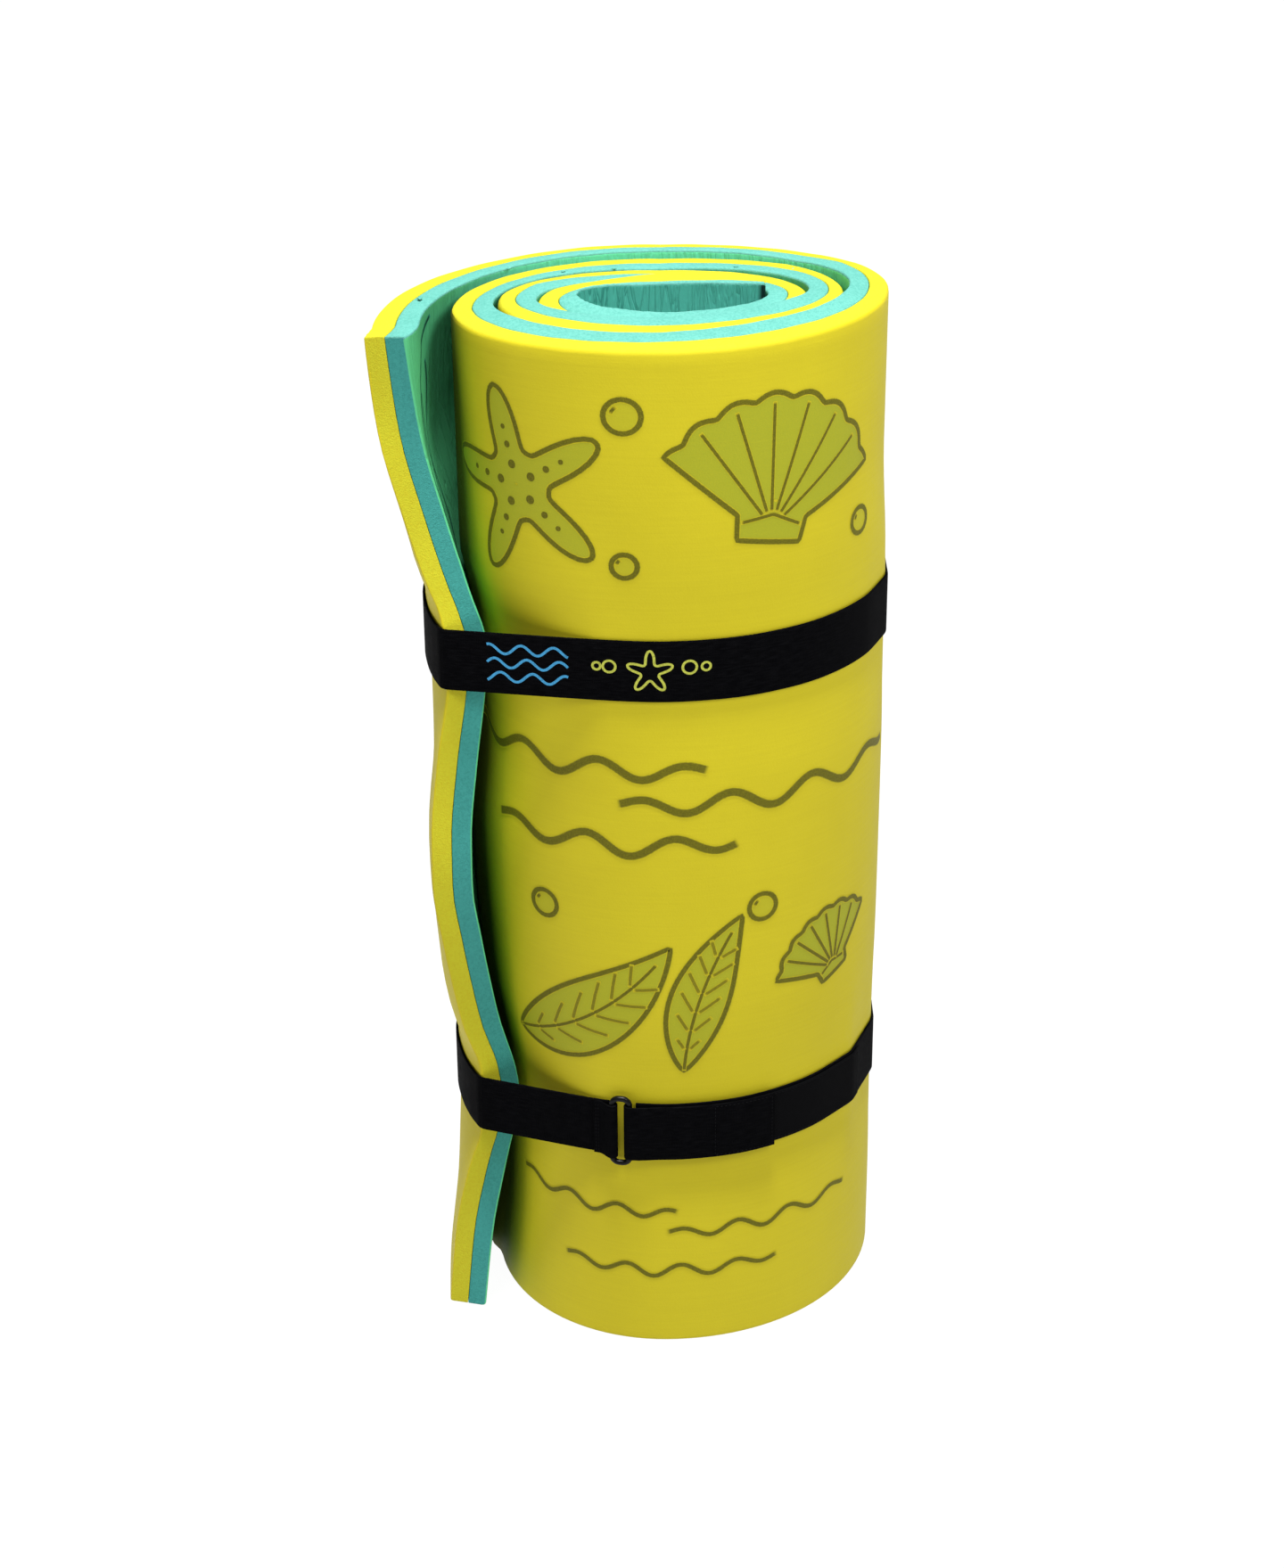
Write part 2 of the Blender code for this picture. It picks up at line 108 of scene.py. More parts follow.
# How far the top edge stands up, in millimetres: half turns, then inner face, bond and outer face
EDGE_RISE = np.array((
    (-0.5, 7, 7, 8), (0, 4.5, 3.6, 5.5), (0.1, 4.5, 3.4, 3.5), (0.2, 5.5, 3.4, 1.8), (0.35, 5, 2, 2.2),
    (0.5, 4, 0, 0), (0.75, -1, -6.5, -8), (1, -4, -7.8, -9.5), (1.25, -2.5, -5, -7), (1.5, -1, -1.6, -1.6),
    (2, -1.5, -2, -2.6), (2.15, -0.5, -0.5, -0.9), (2.33, 2, 2.8, 1), (2.45, 2, 2.4, 2.2), (2.65, 3, 3, 1),
    (3, 4, 3, 1.6), (3.2, 6.5, 4, 1.6), (3.35, 6, 3.6, 1.4), (3.5, 3, 1.5, 0.5), (3.7, 0.5, -0.3, -1),
    (4, -3.2, -4.2, -5.2), (4.25, -1, -3, -3.4), (4.5, 0.5, -2, -2), (4.65, 2.8, -0.5, -1.2),
    (4.8, 3, 0.4, 0), (5, 3.6, 1.7, 0.5), (5.1, 5.5, 3.2, 1.5), (5.2, 7.5, 4.4, 2.4), (5.4, 8, 3.8, 2.4),
    (5.5, 6.5, 4.4, 2.2), (5.65, 3, 2.4, -0.6), (5.75, 0, -1.5, -3.4), (6, -1.4, -4, -6.3),
    (6.5, -0.7, -2, -3.2), (7, 0.6, -1, -3.6)))

# Columns of each half turn from the core outwards: more where the wall wrinkles and where the print lies
COLUMNS = (96, 72, 36, 36, 52, 60)
BEHIND_COLUMNS, FLAP_COLUMNS = 66, 30

# Rows of vertices at the top between which the rim's material lies; on the teal ply that is a lighter copy of
# the cut foam, painted light on the top
RIM_ROWS = 4

# Straps
STRAP_Z = {"upper": 0.6485, "lower": 0.2190}
WEB = 0.0525
WEB_THICK = 0.002
RIB_PITCH, WARP_PITCH = 0.0012, 0.0018
SEAT = 0.0003
STRAP_ROW_MARGIN = 0.0035
FOLD_RADIUS = 0.0025 + 1.2 * SEAT
HEM_FLAT, HEM_END = 0.019, 0.0235
TAIL_FLAT, TAIL_END = 0.036, 0.130
LOOP_SPAN, HOOK_SPAN = (0.050, 0.236), (0.076, 0.127)
LOOP_THICK, HOOK_THICK = 0.0012, 0.001
HEM_LOW = 2 * SEAT + WEB_THICK
HOOK_LOW = HEM_LOW + LOOP_THICK + SEAT
TAIL_LOW = HOOK_LOW + HOOK_THICK + SEAT

# How far before the fold the band ends, over what length it rises to the ring, and what tapes are narrower by
FOLD_CLEARANCE, RISE_LENGTH, TAPE_NARROWER = 0.0007, 0.004, 0.004

# Seams: their places across the hem, the tail and the loop tape's end, and the span of those along that tape
HEM_SEAMS, TAIL_SEAMS, LOOP_END_SEAM = (-0.0215, -0.0195), (0.078, 0.1275), 0.2335
LOOP_SEAMS = (0.052, 0.234)

# How far from the webbing's edges its seams keep, and those along the loop tape
SEAM_MARGIN, LOOP_SEAM_MARGIN = 0.0022, 0.0037

# Height over which the mat swells out again beside a strap, before and after the flap leaves the roll
PRESS_FADE = (0.060, 0.022)

# Print
OUTLINE = 0.0046
FINE = 0.0030


def smooth(t):
    t = np.clip(t, 0, 1)
    return t * t * (3 - 2 * t)


def paired(x, y):
    """Points from their two coordinates, of which one may be a single number."""
    return np.stack(np.broadcast_arrays(x, y), -1)


def round_points(x, y, radius, angles):
    """Points at angles round a middle; the radius may change with the angle."""
    return paired(x + radius * np.cos(angles), y + radius * np.sin(angles))


def run_lengths(points):
    """Length travelled at each point of a line."""
    return np.concatenate([[0], np.cumsum(norm(np.diff(points, axis=0), axis=1))])


def along(points, spans, places):
    """Plan points at places on a line whose points lie at the lengths in spans."""
    return paired(*(np.interp(places, spans, points[:, i]) for i in (0, 1)))


def quads(corners):
    """Faces between neighbours in a grid of vertex numbers."""
    around = (corners[:-1, :-1], corners[:-1, 1:], corners[1:, 1:], corners[1:, :-1])
    return np.stack(around, -1).reshape(-1, 4).tolist()


def closed_sheet(rows, columns):
    """Vertex numbers of two grids of a sheet, and its faces: two sides, two ends, foot and top."""
    corners = np.arange(2 * rows * columns).reshape(2, rows, columns)
    ends = (corners[:, :, 0].T, corners[:, :, -1].T, corners[:, 0], corners[:, -1])
    return corners, [quads(part) for part in (corners[0].T, corners[1].T, *ends)]


def curve_through(table, x):
    """Value at x of the smooth curve through a table that doesn't overshoot its rows."""
    xs, ys = np.array(table, float).T
    slope = np.diff(ys) / np.diff(xs)
    tangent = np.concatenate([slope[:1], np.zeros(len(xs) - 2), slope[-1:]])
    for i in range(1, len(xs) - 1):
        before, after = slope[i - 1:i + 1]
        if before * after > 0:
            tangent[i] = 2 * before * after / (before + after)
    k = int(np.clip(np.searchsorted(xs, x) - 1, 0, len(xs) - 2))
    step = xs[k + 1] - xs[k]
    t = (x - xs[k]) / step
    bow = t * (1 - t) * ((1 - t) * tangent[k] - t * tangent[k + 1]) * step
    return float(ys[k] + (ys[k + 1] - ys[k]) * smooth(t) + bow)


def inset(distance, radius):
    """How far a rounded edge draws a face in, at a distance from that edge."""
    round_part = radius - np.sqrt(np.maximum(0.0, radius**2 - (radius - distance) ** 2))
    return np.where(distance < radius, round_part, 0.0)


def convex_outline(points):
    """Convex outline of plan points, counter-clockwise."""
    ordered = sorted(map(tuple, points))
    outline = []
    for run in (ordered, ordered[::-1]):
        chain = []
        for p in run:
            while len(chain) > 1:
                (ax, ay), (bx, by) = chain[-2], chain[-1]
                if (bx - ax) * (p[1] - ay) - (by - ay) * (p[0] - ax) > 1e-10:
                    break
                chain.pop()
            chain.append(p)
        outline += chain[:-1]
    return np.array(outline)


def blurred(points, spread):
    """A closed line of points, each mixed with its neighbours; spread is a number of points."""
    steps = np.arange(-3 * int(spread), 3 * int(spread) + 1)
    weights = np.exp(-((steps / spread) ** 2) / 2)
    return sum(w * np.roll(points, int(k), 0) for k, w in zip(steps, weights / weights.sum()))


def face_outward(mesh):
    work = bmesh.new()
    work.from_mesh(mesh)
    bmesh.ops.recalc_face_normals(work, faces=work.faces)
    work.to_mesh(mesh)
    work.free()


def placed(name, data):
    made = bpy.data.objects.new(name, data)
    bpy.context.scene.collection.objects.link(made)
    return made


def add_mesh(name, verts, faces, materials, body, face_materials=None, uvs=None, normals=None):
    """A smooth-shaded mesh object that rides on a body, closed unless its normals are given."""
    mesh = bpy.data.meshes.new(name)
    mesh.from_pydata([tuple(v) for v in verts], [], faces)
    for material in materials:
        mesh.materials.append(material)
    if face_materials is not None:
        mesh.polygons.foreach_set("material_index", face_materials)
    if uvs is not None:
        layer = mesh.uv_layers.new(name="UVMap")
        corner = np.empty(len(mesh.loops), int)
        mesh.loops.foreach_get("vertex_index", corner)
        layer.data.foreach_set("uv", np.asarray(uvs, float)[corner].ravel())
    mesh.polygons.foreach_set("use_smooth", [True] * len(mesh.polygons))
    if normals is not None:
        mesh.normals_split_custom_set_from_vertices([tuple(n) for n in normals])
    mesh.update()
    if normals is None:
        face_outward(mesh)
    made = placed(name, mesh)
    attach(made, body)
    return made


class Shader:
    """A Principled material and short ways to add nodes to it."""

    def __init__(self, name, colour, roughness, **sockets):
        self.material = bpy.data.materials.new(name)
        self.material.use_nodes = True
        self.tree = self.material.node_tree
        self.surface = self.tree.nodes["Principled BSDF"]
        self.surface.inputs["Base Color"].default_value = (*colour, 1)
        self.surface.inputs["Roughness"].default_value = roughness
        for socket, value in sockets.items():
            self.surface.inputs[socket.replace("_", " ")].default_value = value

    def node(self, kind, inputs, **properties):
        made = self.tree.nodes.new(kind)
        for key, value in properties.items():
            setattr(made, key, value)
        for key, value in inputs.items():
            if hasattr(value, "is_output"):
                self.tree.links.new(value, made.inputs[key])
            else:
                made.inputs[key].default_value = value
        return made

    def calc(self, operation, a, b=0.0, clamp=False):
        return self.node("ShaderNodeMath", {0: a, 1: b}, operation=operation, use_clamp=clamp).outputs[0]

    def times(self, a, b):
        return self.calc("MULTIPLY", a, b)

    def weighed(self, first, *others):
        """Sum of values, each given with its weight."""
        total = self.times(*first)
        for pair in others:
            total = self.calc("ADD", total, self.times(*pair))
        return total

    def place(self, kind="Object", scale=None):
        where = self.node("ShaderNodeTexCoord", {}).outputs[kind]
        if scale is None:
            return where
        return self.node("ShaderNodeMapping", {0: where, "Scale": scale}).outputs[0]

    def sheet_place(self):
        """Length along the sheet and height on it."""
        return self.node("ShaderNodeSeparateXYZ", {0: self.place("UV")}).outputs[:2]

    def noise(self, vector, scale, detail=2.0, roughness=0.5, distortion=0.0):
        inputs = {"Vector": vector, "Scale": scale, "Detail": detail, "Roughness": roughness}
        inputs["Distortion"] = distortion
        return self.node("ShaderNodeTexNoise", inputs).outputs["Fac"]

    def cells(self, vector, scale):
        return self.node("ShaderNodeTexVoronoi", {"Vector": vector, "Scale": scale}).outputs["Distance"]

    def mix(self, share, under, over):
        """A colour of which a share is covered by another, plain one."""
        return self.node("ShaderNodeMix", {0: share, 6: under, 7: (*over, 1)}, data_type="RGBA").outputs[2]

    def ramp(self, value, *stops):
        made = self.node("ShaderNodeValToRGB", {0: value})
        elements = made.color_ramp.elements
        while len(elements) < len(stops):
            elements.new(0.5)
        for element, (position, colour) in zip(elements, stops):
            element.position = position
            element.color = (*colour, 1) if hasattr(colour, "__len__") else (colour, colour, colour, 1)
        return made.outputs[0]

    def bump(self, height, distance, strength, normal=None):
        inputs = {"Height": height, "Distance": distance, "Strength": strength}
        if normal is not None:
            inputs["Normal"] = normal
        return self.node("ShaderNodeBump", inputs).outputs[0]

    def linked(self, **outputs):
        """The material, with outputs linked to the shader's sockets."""
        for socket, output in outputs.items():
            self.tree.links.new(output, self.surface.inputs[socket.replace("_", " ")])
        return self.material


# Colours of the foam and its print; those of a cut edge are the foam, its darker places and its pores
YELLOW, YELLOW_DARK = (0.640, 0.545, 0.016), (0.600, 0.505, 0.014)
# Near-black colour of the painted shade on the roll's left flank, in the crevice by the flap
YELLOW_PAINTED_SHADE = (0.020, 0.026, 0.001)
YELLOW_CUT = ((0.580, 0.550, 0.022), (0.560, 0.500, 0.018), (0.50, 0.40, 0.016))
TEAL, TEAL_DARK = (0.060, 0.390, 0.310), (0.045, 0.320, 0.250)
# Painted light on the teal inner face: yellow bounce light on the flap's inner face, light let into the gap
# behind the roll, and a lighter, more saturated core wall
TEAL_FLAP_PAINTED_BOUNCE, TEAL_BEHIND_PAINTED_LIGHT, TEAL_CORE_PAINTED_LIGHT = (0.105, 0.570, 0.255), (0.170, 0.850, 0.560), (0.095, 0.540, 0.430)
# Painted shade: dark in the creases of the core's wall, near-black at the mat's inner end
TEAL_CREASE_PAINTED_SHADE, TEAL_TIP_PAINTED_SHADE = (0.010, 0.17, 0.135), (0.004, 0.030, 0.026)
TEAL_CUT = ((0.052, 0.325, 0.290), (0.040, 0.270, 0.240), (0.020, 0.17, 0.15))
# Cut teal foam painted lighter for the top rim, where the overhead light falls: painted light
TEAL_RIM_PAINTED_LIGHT = ((0.130, 0.430, 0.365), (0.095, 0.360, 0.300), (0.050, 0.26, 0.22))
OLIVE, TINT, DEEP_GREEN = (0.098, 0.092, 0.004), (0.360, 0.385, 0.020), (0.012, 0.075, 0.030)

# A colour ramp reaches from 0 to 1, so lengths along the sheet are divided by this before one
RAMP_LENGTH = 2.4


def foam_skin(name, base, dark, ink=None, painted_shade=None):
    """Moulded skin of the foam, with ink where a decal's coordinates say so, or with painted shade in the
    crevice by the flap.
    """
    shader = Shader(name, base, 0.6, Specular_IOR_Level=0.15)
    here = shader.place()
    cloud = shader.noise(here, 9.0, 4.0, 0.6)
    streak = shader.noise(shader.place(scale=(14, 14, 520)), 1.0, 3.0, 0.6)
    grain = shader.noise(here, 520.0, 3.0, 0.7)
    tone = shader.weighed((cloud, 0.5), (streak, 0.3), (grain, 0.2))
    colour = shader.ramp(tone, (0.36, dark), (0.60, base))
    if ink is not None:
        side, strength = shader.sheet_place()
        ragged = shader.times(shader.calc("SUBTRACT", shader.noise(here, 1100.0, 2.0), 0.5), 1.3)
        cover = shader.times(shader.calc("SUBTRACT", 0.93, shader.calc("ABSOLUTE", side)), 4.0)
        cover = shader.calc("ADD", cover, ragged, True)
        speckle = shader.ramp(shader.noise(here, 1500.0, 2.0, 0.7), (0.34, 0.78), (0.60, 1.0))
        colour = shader.mix(shader.times(shader.times(cover, speckle), strength), colour, ink)
    # Painted shade: the yellow face is darkened where it runs into the crevice by the flap, reaching further
    # along near the foot
    if painted_shade is not None:
        length, height = shader.sheet_place()
        lower = shader.times(shader.calc("SUBTRACT", 1.0, height), 0.022)
        share = shader.calc("DIVIDE", shader.calc("SUBTRACT", length, lower), RAMP_LENGTH)
        shade_share = shader.ramp(share, (0.500, 0.0), (0.530, 0.95), (0.5615, 0.9), (0.5765, 0.0))
        colour = shader.mix(shade_share, colour, painted_shade)
    pebble = shader.bump(shader.cells(here, 700.0), 0.00012, 0.45)
    lined = shader.bump(streak, 0.00016, 0.5, pebble)
    dented = shader.bump(shader.noise(here, 55.0, 3.0, 0.6), 0.0004, 0.3, lined)
    roughness = shader.ramp(grain, (0.3, 0.52), (0.7, 0.68))
    return shader.linked(Base_Color=colour, Normal=dented, Roughness=roughness)


def foam_cut(name, base, dark, pore):
    """Sawn edge of the foam: fine open cells."""
    shader = Shader(name, base, 0.85, Specular_IOR_Level=0.2)
    here = shader.place()
    cells = shader.cells(here, 850.0)
    grain = shader.weighed((shader.noise(here, 420.0, 3.0, 0.7), 0.8), (shader.noise(here, 30.0), 0.2))
    colour = shader.ramp(grain, (0.38, dark), (0.56, base))
    pores = shader.ramp(cells, (0.12, 1.0), (0.30, 0.0))
    colour = shader.mix(shader.times(pores, 0.35), colour, pore)
    return shader.linked(Base_Color=colour, Normal=shader.bump(cells, 0.0003, 0.6))


def teal_face(name):
    """Inner skin of the mat: painted light and painted shade by the place on the sheet, with painted shade in
    the creases of the core's wall.
    """
    shader = Shader(name, TEAL, 0.6, Specular_IOR_Level=0.25)
    here = shader.place()
    length, height = shader.sheet_place()
    across = {0: shader.times(length, 110.0), 1: shader.times(height, 13.0)}
    crumple = shader.noise(shader.node("ShaderNodeCombineXYZ", across).outputs[0], 1.0, 3.0, 0.55, 0.7)
    wall = shader.ramp(length, (0.03, 0.15), (0.12, 0.85), (0.24, 1.0), (0.34, 0.08))
    fold = shader.calc("ABSOLUTE", shader.calc("SUBTRACT", crumple, 0.5))
    # Painted shade in the creases where the core's wall folds
    painted_crease_shade = shader.times(shader.ramp(fold, (0.0, 1.0), (0.024, 0.0)), wall)
    share = shader.calc("DIVIDE", length, RAMP_LENGTH)
    colour = shader.ramp(shader.noise(here, 12.0, 3.0, 0.6), (0.35, TEAL_DARK), (0.62, TEAL))
    # Painted light and painted shade by place along the sheet, over the face's own teal
    for where, stops, shade in (
            (share, ((0.78, 0.0), (0.90, 1.0)), TEAL_FLAP_PAINTED_BOUNCE),
            (share, ((0.71, 0.0), (0.74, 1.0), (0.875, 1.0), (0.905, 0.0)), TEAL_BEHIND_PAINTED_LIGHT),
            (length, ((0.22, 1.0), (0.36, 0.0)), TEAL_CORE_PAINTED_LIGHT),
            (painted_crease_shade, ((0.0, 0.0), (1.0, 0.75)), TEAL_CREASE_PAINTED_SHADE),
            (length, ((0.004, 1.0), (0.007, 0.0)), TEAL_TIP_PAINTED_SHADE)):
        colour = shader.mix(shader.ramp(where, *stops), colour, shade)
    folded = shader.bump(shader.ramp(fold, (0.0, 0.0), (0.09, 1.0)), 0.0010, 0.45)
    grainy = shader.bump(shader.noise(here, 520.0, 3.0, 0.6), 0.0002, 0.5, folded)
    return shader.linked(Base_Color=colour, Normal=grainy)


def webbing(name):
    """Woven elastic: ribs across its length and a finer warp along it."""
    shader = Shader(name, (0.003, 0.003, 0.0035), 0.8, Specular_IOR_Level=0.012)
    ribs, warp = (shader.calc("SINE", shader.times(place, 2 * math.pi / pitch))
                  for place, pitch in zip(shader.sheet_place(), (RIB_PITCH, WARP_PITCH)))
    weave = shader.calc("ADD", ribs, shader.times(ribs, warp))
    lint = shader.noise(shader.place("UV", (90, 700, 1)), 1.0, 3.0, 0.6)
    colour = shader.ramp(lint, (0.4, (0.0015, 0.0015, 0.002)), (0.78, (0.0055, 0.0055, 0.0065)))
    return shader.linked(Base_Color=colour, Normal=shader.bump(weave, 0.00018, 0.7),
                         Roughness=shader.ramp(lint, (0.3, 0.58), (0.8, 0.8)))


def tape(name, scale, depth, colour, roughness):
    """Pile or thread: short tangled fibres."""
    shader = Shader(name, colour, roughness, Specular_IOR_Level=0.04)
    fuzz = shader.noise(shader.place(), scale, 4.0, 0.7, 1.2)
    low, high = (tuple(c * k for c in colour) for k in (0.5, 1.8))
    colour = shader.ramp(fuzz, (0.35, low), (0.7, high))
    return shader.linked(Base_Color=colour, Normal=shader.bump(fuzz, depth, 0.9))


def moulded_plastic(name):
    shader = Shader(name, (0.003, 0.003, 0.0035), 0.3, Specular_IOR_Level=0.16)
    here = shader.place()
    grain = shader.noise(here, 350.0)
    dark, light = (0.002, 0.002, 0.0025), (0.004, 0.004, 0.005)
    colour = shader.ramp(shader.noise(here, 60.0), (0.4, dark), (0.7, light))
    return shader.linked(Base_Color=colour, Normal=shader.bump(grain, 0.00005, 0.3),
                         Roughness=shader.ramp(grain, (0.3, 0.24), (0.7, 0.36)))


def strap_ink(name, colour):
    """Rubbery ink that the weave shows through."""
    shader = Shader(name, colour, 0.5, Specular_IOR_Level=0.25)
    patch = shader.noise(shader.place(), 900.0, 3.0, 0.7)
    colour = shader.ramp(patch, (0.34, tuple(c * 0.55 for c in colour)), (0.52, colour))
    return shader.linked(Base_Color=colour, Normal=shader.bump(patch, 0.0001, 0.6))


yellow_skin = foam_skin("foam_yellow_skin", YELLOW, YELLOW_DARK, painted_shade=YELLOW_PAINTED_SHADE)
yellow_cut = foam_cut("foam_yellow_cut", *YELLOW_CUT)
teal_skin = teal_face("foam_teal_skin")
teal_cut = foam_cut("foam_teal_cut", *TEAL_CUT)
# Painted light: a lighter copy of the teal cut foam, for the top rim and the crumbs
teal_rim_painted_light = foam_cut("foam_teal_rim", *TEAL_RIM_PAINTED_LIGHT)
line_ink = foam_skin("print_line", YELLOW, YELLOW_DARK, OLIVE)
fill_ink = foam_skin("print_fill", YELLOW, YELLOW_DARK, TINT)
green_ink = foam_skin("print_line_inside", TEAL, TEAL_DARK, DEEP_GREEN)
web_black = webbing("strap_webbing")
loop_black = tape("strap_loop_pile", 1500.0, 0.0006, (0.0028, 0.0028, 0.0033), 0.9)
hook_black = tape("strap_hook_tape", 900.0, 0.0005, (0.003, 0.003, 0.0035), 0.6)
thread = tape("sewing_thread", 2500.0, 0.0001, (0.007, 0.007, 0.008), 0.6)
ring_black = moulded_plastic("ring_plastic")
cyan_ink = strap_ink("strap_ink_cyan", (0.050, 0.330, 0.620))
lime_ink = strap_ink("strap_ink_lime", (0.52, 0.55, 0.07))


class StrapPath:
    """Rounded convex outline that a strap follows; places are lengths from the middle of its ring."""

    def __init__(self, which):
        self.z = STRAP_Z[which]
        self.points = self.rounded(self.mat_outline())
        joints = {joint["name"]: joint for joint in frame["record"]["behaviour"]["joints"]}
        first, second = (np.array(joints[which + kind]["pos_m"][:2]) for kind in ("_ring_lift", "_tail_peel"))
        self.bars = (first, second)
        self.reach = norm(second - first) / 2
        self.heading = (second - first) / (2 * self.reach)
        self.out = np.array((self.heading[1], -self.heading[0]))
        self.middle = (first + second) / 2
        self.measure()

    def mat_outline(self):
        """Convex outline of the solid mat at the strap's two edges."""
        half = WEB / 2 + STRAP_ROW_MARGIN
        nodes = (frame["nodes"][name] for name in ("mat_outer_ply", "mat_inner_ply"))
        corners = [vertex.co for node in nodes for vertex in node.data.vertices]
        return convex_outline([co.xy[:] for co in corners if abs(abs(co.z - self.z) - half) < 0.0006])

    @staticmethod
    def rounded(corners):
        """The outline with its facets smoothed out, but tight at the flap's sharp corner."""
        closed = np.concatenate([corners, corners[:1]])
        spans = run_lengths(closed)
        length = spans[-1]
        places = np.arange(0, length, 0.001)
        points = along(closed, spans, places)
        to_last, to_next = (np.roll(corners, k, 0) - corners for k in (1, -1))
        cosine = (to_last * to_next).sum(1) / norm(to_last, axis=1) / norm(to_next, axis=1)
        sharp = spans[:-1][cosine > math.cos(math.pi - 0.35)]
        away = np.abs((places[:, None] - sharp[None, :] + length / 2) % length - length / 2).min(1)
        share = smooth((away - 0.02) / 0.04)[:, None]
        return blurred(points, 2.5) * (1 - share) + blurred(points, 20) * share

    def measure(self):
        steps = np.roll(self.points, -1, 0) - self.points
        spans = norm(steps, axis=1)
        self.length = spans.sum()
        travelled = np.concatenate([[0], np.cumsum(spans)[:-1]])
        share = np.clip(((self.middle - self.points) * steps).sum(1) / spans**2, 0, 1)
        away = norm(self.points + steps * share[:, None] - self.middle, axis=1)
        nearest = int(np.argmin(away))
        self.bar_height = away[nearest]
        start = travelled[nearest] + share[nearest] * spans[nearest]
        tangent = np.roll(self.points, -1, 0) - np.roll(self.points, 1, 0)
        laps = np.arange(-1, 3)[:, None] * self.length
        self.places = (travelled - start + laps).ravel()
        self.xy = np.tile(self.points, (4, 1))
        self.tangents = np.tile(tangent / norm(tangent, axis=1)[:, None], (4, 1))

    def normal(self, places):
        x, y = np.moveaxis(along(self.tangents, self.places, places), -1, 0)
        return paired(y, -x) / np.hypot(x, y)[..., None]

    def at(self, places, height):
        """Plan points at the given places, this far out from the outline."""
        out = self.normal(places) * np.asarray(height)[..., None]
        return along(self.xy, self.places, places) + out

    def radius(self, angles):
        """Distance from the roll's centre to the strap's inner face in the given directions."""
        ring = self.at(np.linspace(0, self.length, 900), SEAT) - CENTRE
        turned = np.arctan2(ring[:, 1], ring[:, 0])
        order = np.argsort(turned)
        return np.interp(angles, turned[order], np.hypot(ring[:, 0], ring[:, 1])[order], period=2 * math.pi)

    def front_place(self, x):
        """Place on the front of the roll with the given x."""
        front = (self.xy[:, 1] < CENTRE[1]) & (self.places > 0) & (self.places < self.length)
        order = np.argsort(self.xy[front, 0])
        return float(np.interp(x, self.xy[front, 0][order], self.places[front][order]))


paths = {which: StrapPath(which) for which in STRAP_Z}


# The rolled mat

def oval(side, level, angles, z, squeeze):
    """Points of a half oval: side 0 is the left one; level counts layers out from the core's wall."""
    outward = (level / 3) ** 2
    foot, top = (LEFT_DRIFT, RIGHT_DRIFT)[side]
    middle = CORE_Y + (foot + (top - foot) * z / H) * outward
    sine = np.sin(angles)
    across, back = CORE_LEFT + PITCH * level - squeeze * outward, 0.0
    if not side:
        across = across - curve_through(LEFT_PULL, z / H) * outward * smooth(-sine / 0.16)
    else:
        pull = RIGHT_PULL * smooth((z - STRAP_Z["upper"]) / PULL_HEIGHT) * level / 3
        across, back = CORE_RIGHT + PITCH * level - pull, PITCH / 2
        middle += PITCH / 2
    behind, before = BACK_Y + PITCH * level + back - middle, middle - FRONT_Y + PITCH * level - back
    return paired(CENTRE_X + across * np.cos(angles), middle + np.where(sine > 0, behind, before) * sine)


def wedge(z):
    """The mat's inner end, pressed to a wedge under the first turn."""
    angles = math.pi / 2 - np.linspace(math.radians(80), 0, 20)[:-1]
    roof = oval(1, 0.5, angles, z, 0.0) - paired(TURN_GAP * np.cos(angles), TURN_GAP)
    return paired(roof[:, 0], BACK_Y), roof, angles / math.pi - 0.5


def half_turn(k, z, squeeze, gap):
    """Inner and outer points of half turn k; the last one is lifted towards the flap."""
    share = np.arange(COLUMNS[k]) / COLUMNS[k]
    angles = math.pi / 2 + math.pi * (k + share)
    lift = np.where(share > 0.5, gap * np.sin(angles), 0.0) if k == len(COLUMNS) - 1 else 0.0
    inner, outer = (oval(k % 2, k / 2 + depth, angles, z, squeeze) + paired(0.0, lift)
                    for depth in (0.0, LAYER / PITCH))
    return inner, outer, k + share


def flap(z, flare, depth, reach, gap):
    """The loose last half turn: a quarter oval behind the roll, then a curve to the free end."""
    turn_y = CORE_Y + LEFT_DRIFT[0] + (LEFT_DRIFT[1] - LEFT_DRIFT[0]) * z / H
    turn_y -= FLARE_FORWARD * max(0.0, 2 * flare - 1) ** 1.5
    back_y = BACK_Y + PITCH * 3 + gap
    angles = np.linspace(math.pi / 2, math.pi, BEHIND_COLUMNS)
    behind = paired(CENTRE_X + reach * np.cos(angles), turn_y + (back_y - turn_y) * np.sin(angles))
    left_x = CENTRE_X - reach
    end_x, end_y = END_X - END_FLARE_REACH * flare, END_Y - END_DEPTH_REACH * depth
    t = np.concatenate([np.linspace(0, 0.93, FLAP_COLUMNS - 5)[1:], 1 - np.array(CLOSE_TO_END)])
    free = paired(left_x + (end_x - left_x) * t * t, turn_y + (end_y - turn_y) * t)
    inner = np.concatenate([behind, free])
    step = np.gradient(inner, axis=0)
    heading = np.arctan2(step[:, 1], step[:, 0])
    heading[0] = math.pi
    count = len(inner)
    heading += curve_through(END_TWIST, z / H) * smooth(np.linspace(-1.1, 1, count))
    turns = 6 + np.arange(count) / (count - 1)
    thick = LAYER + np.interp(turns, *zip(*END_SWELL)) * smooth((z / H - 0.82) / 0.18)
    return inner, inner + paired(np.sin(heading), -np.cos(heading)) * thick[:, None], turns


